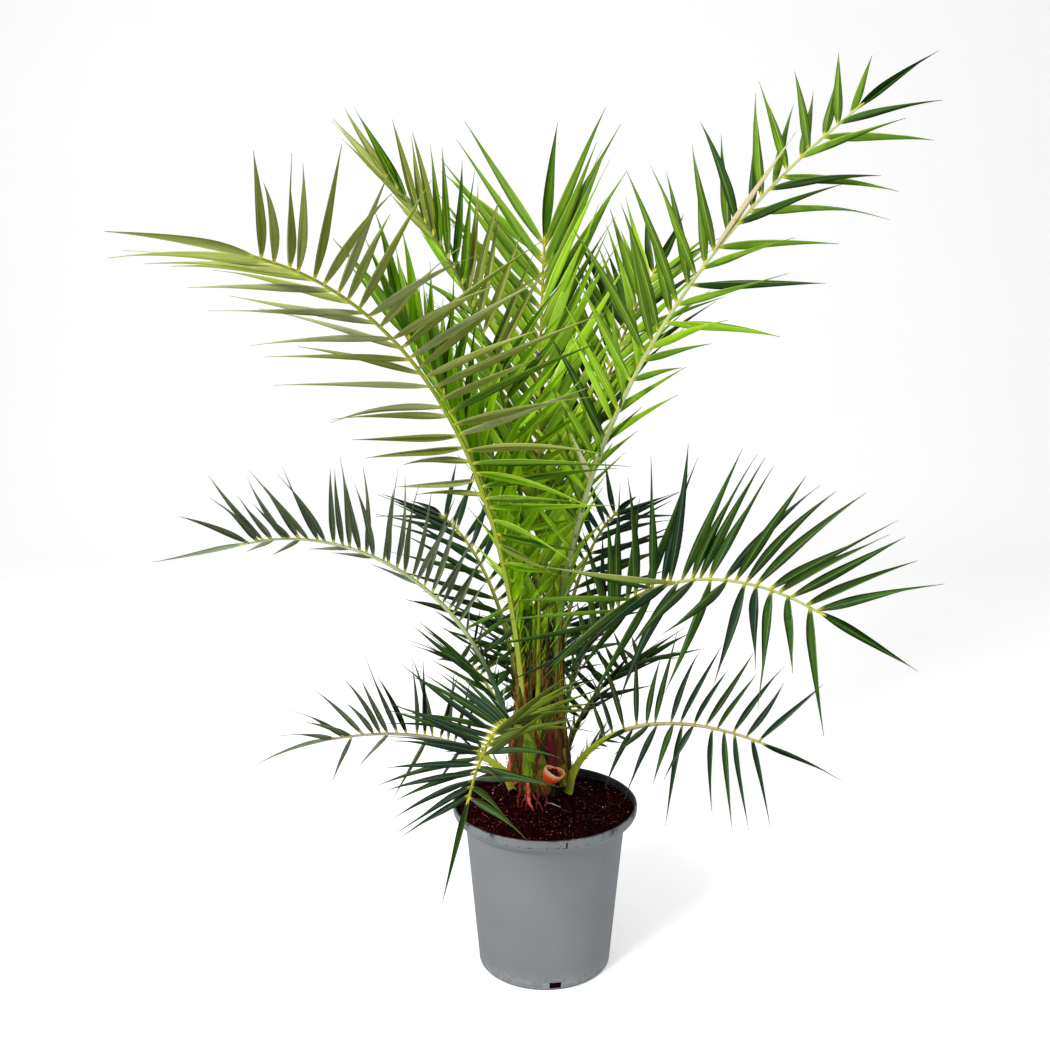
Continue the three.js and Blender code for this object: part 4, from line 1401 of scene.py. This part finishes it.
def add_blade(shape, root, direction, across, length, width, draw, paint, droop=1):
    """A folded blade: over the top from margin to margin, and back beneath."""
    s = np.linspace(0, 1, LEAF_STEPS + 1)[:, None]
    above = np.cross(direction, across)
    twist = draw(*LEAF_COILS) * s
    over = across * np.cos(twist) + above * np.sin(twist)
    up = above * np.cos(twist) - across * np.sin(twist)
    down = np.array((0.0, 0.0, -1.0))
    hang = (down - direction * np.dot(down, direction)) * draw(*LEAF_HANGS) * droop
    curl = across * draw(*LEAF_CURLS)
    middle = root + direction * length * s + (hang + curl) * length * s ** LEAF_BEND
    fold = tan(radians(LEAF_FOLD)) * (1 - 0.45 * s)
    first, second = (width * leaf_outline(np.minimum(s / end, 1)) / 2
                     for end in half_ends(draw))
    skin = up * LEAF_SKIN
    rib = up * between(LEAF_RIB_TIP, LEAF_RIB_ROOT, 1 - s)
    margins = [middle + over * first + up * first * fold,
               middle - over * second + up * second * fold]
    tops = [middle + over * first * 0.5 + up * first * 0.1,
            middle - up * (first + second) / 2 * fold,
            middle - over * second * 0.5 + up * second * 0.1]
    lows = [tops[2] - skin, tops[1] - rib, tops[0] - skin]
    rings = np.stack([margins[0], *tops, margins[1], *lows], axis=1)
    loft(shape, rings, paint, LEAF_ACROSS, draw(), LEAF_UNDERS)


def add_knob(shape, root, direction, across, width, draw):
    """The swollen yellow foot of a leaflet."""
    above = np.cross(direction, across)
    size = between(*KNOB_SIZES, min(width / 16, 1)) * draw(0.75, 1.1)
    rings = [round_ring(root + direction * place, across, above, size * share,
                        size * share * 0.85, 8)
             for place, share in KNOB_PROFILE]
    loft(shape, rings, KNOB)


def leaf_width(frond, length):
    """A leaflet's full width: short leaflets are narrower."""
    usual, share = SHORT_LEAF
    return LEAF_WIDTH * frond["wide"] * min(1, between(share, 1, length / usual))


def greens_of(frond, side):
    """The leaf paints of one side, from the foot to the tip."""
    greens = frond["greens"] if side > 0 else frond.get("right_greens", frond["greens"])
    return greens.split()


def pick_green(frond, t, side, draw):
    """A leaf paint for a leaflet at t, with some scatter."""
    greens = greens_of(frond, side)
    place = t + draw(-GREEN_SCATTER, GREEN_SCATTER)
    return greens[int(min(max(place, 0), 0.999) * len(greens))]


def make_frond(index, paints):
    """A frond's leaflets as one piece, and its rachis with knobs and spines."""
    frond = FRONDS[index]
    draw = random_draws(index + LEAF_SEED)
    line = smooth_line(centre_line(frond), RACHIS_RINGS + 1)
    strays = frond.get("strays", ())
    greens = [*greens_of(frond, 1), *greens_of(frond, -1), *(stray[-1] for stray in strays)]
    greens = sorted(set(greens))
    leaves = Shape()
    stalk = Shape()
    add_rachis(stalk, frond, line)
    add_spines(leaves, stalk, frond, line, greens, draw)
    for t, side, angle, lift, length in wanted_leaflets(frond, index + ROW_SEED):
        axes = Station(frond, t)
        direction = axes.leaflet(side, angle, lift)
        across = square_to(axes.along if t < 1 else axes.left, direction) * side
        across = turned_about(across, direction, (LEAF_TWIST + draw(*LEAF_TURNS)) * side)
        width = leaf_width(frond, length)
        root = point_at(line, t) + direction * rachis_radius(frond, t) * 0.35
        chosen = greens.index(pick_green(frond, t, side, draw))
        add_blade(leaves, root, direction, across, length, width, draw, chosen,
                  frond.get("droop", 1))
        add_knob(stalk, root, direction, across, width, draw)
    for t, side, angle, lift, length, width, green in strays:
        axes = Station(frond, t)
        direction = axes.leaflet(side, angle, lift)
        add_blade(leaves, point_at(line, t), direction, square_to(axes.left, direction), length,
                  width, draw, greens.index(green))
    name = frond["name"]
    nodes = [name + "_inner", name + "_outer"] if frond.get("split") else [name]
    foliage = "foliage_upper" if index < UPPER_FRONDS else "foliage_lower"
    blades = leaves.make(name + "_leaflets", [paints[green] for green in greens])
    rachis = stalk.make(name + "_rachis", [paints[frond["stalk"]], paints["knob"]], sharp=60)
    for piece in (blades, rachis):
        settle(piece, foliage, *nodes)


def settle(piece, finish, *nodes):
    """The piece rides on the one body, in place of its nodes."""
    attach(piece, "root")
    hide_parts(*nodes)


# Studio


def make_backdrop():
    """A white floor that sweeps up into a wall."""
    sweep = [(FLOOR_BACK + SWEEP_RADIUS * sin(turn), SWEEP_RADIUS * (1 - cos(turn)))
             for turn in np.linspace(0, pi / 2, 24)]
    profile = [(FLOOR_FRONT, 0), *sweep, (FLOOR_BACK + SWEEP_RADIUS, WALL_TOP)]
    points = [(x, y, z) for y, z in profile for x in (-FLOOR_SIDE, FLOOR_SIDE)]
    faces = [(2 * i, 2 * i + 1, 2 * i + 3, 2 * i + 2) for i in range(len(profile) - 1)]
    shape = Shape()
    shape.add(points, faces)
    shape.make("backdrop", [floor_paint()], sharp=60, scale=1)


def area_light(name, place, target, size, power):
    lamp = bpy.data.lights.new(name, "AREA")
    lamp.shape = "DISK"
    lamp.size = size
    lamp.energy = power
    holder = new_object(name, lamp)
    holder.location = place
    aim = Vector(target) - Vector(place)
    holder.rotation_euler = aim.to_track_quat("-Z", "Y").to_euler()


def make_lights():
    for name, lamp in LAMPS.items():
        area_light(name, *lamp)
    world = bpy.data.worlds.new("studio")
    world.use_nodes = True
    nodes = world.node_tree.nodes
    rays = nodes.new("ShaderNodeLightPath")
    glow = nodes.new("ShaderNodeMath")
    glow.operation = "MULTIPLY_ADD"
    glow.inputs[1].default_value = WORLD_SEEN - WORLD_GLOW
    glow.inputs[2].default_value = WORLD_GLOW
    nodes["Background"].inputs["Color"].default_value = (1, 1, 1, 1)
    world.node_tree.links.new(rays.outputs["Is Camera Ray"], glow.inputs[0])
    world.node_tree.links.new(glow.outputs[0], nodes["Background"].inputs["Strength"])
    bpy.context.scene.world = world
    bpy.context.scene.view_settings.view_transform = "Standard"


def make_camera():
    data = bpy.data.cameras.new("camera")
    data.sensor_width = CAMERA_SENSOR
    data.lens = CAMERA_LENS
    camera = new_object("camera", data)
    camera.location = CAMERA_PLACE
    camera.rotation_euler = (radians(90 - CAMERA_PITCH), 0, 0)
    bpy.context.scene.camera = camera


def main():
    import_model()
    make_camera()
    make_lights()
    make_backdrop()
    settle(make_pot(), "pot_plastic", "pot")
    settle(make_soil(random_draws(SOIL_SEED)), "soil", "soil")
    settle(make_trunk(random_draws(TRUNK_SEED)), "trunk_fibre", "trunk")
    paints = {name: leaf_paint(name, colours) for name, colours in LEAF_PAINTS.items()}
    paints.update({name: stalk_paint(name, colours) for name, colours in STALK_PAINTS.items()})
    paints["knob"] = knob_paint()
    for index in range(len(FRONDS)):
        make_frond(index, paints)
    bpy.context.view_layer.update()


main()
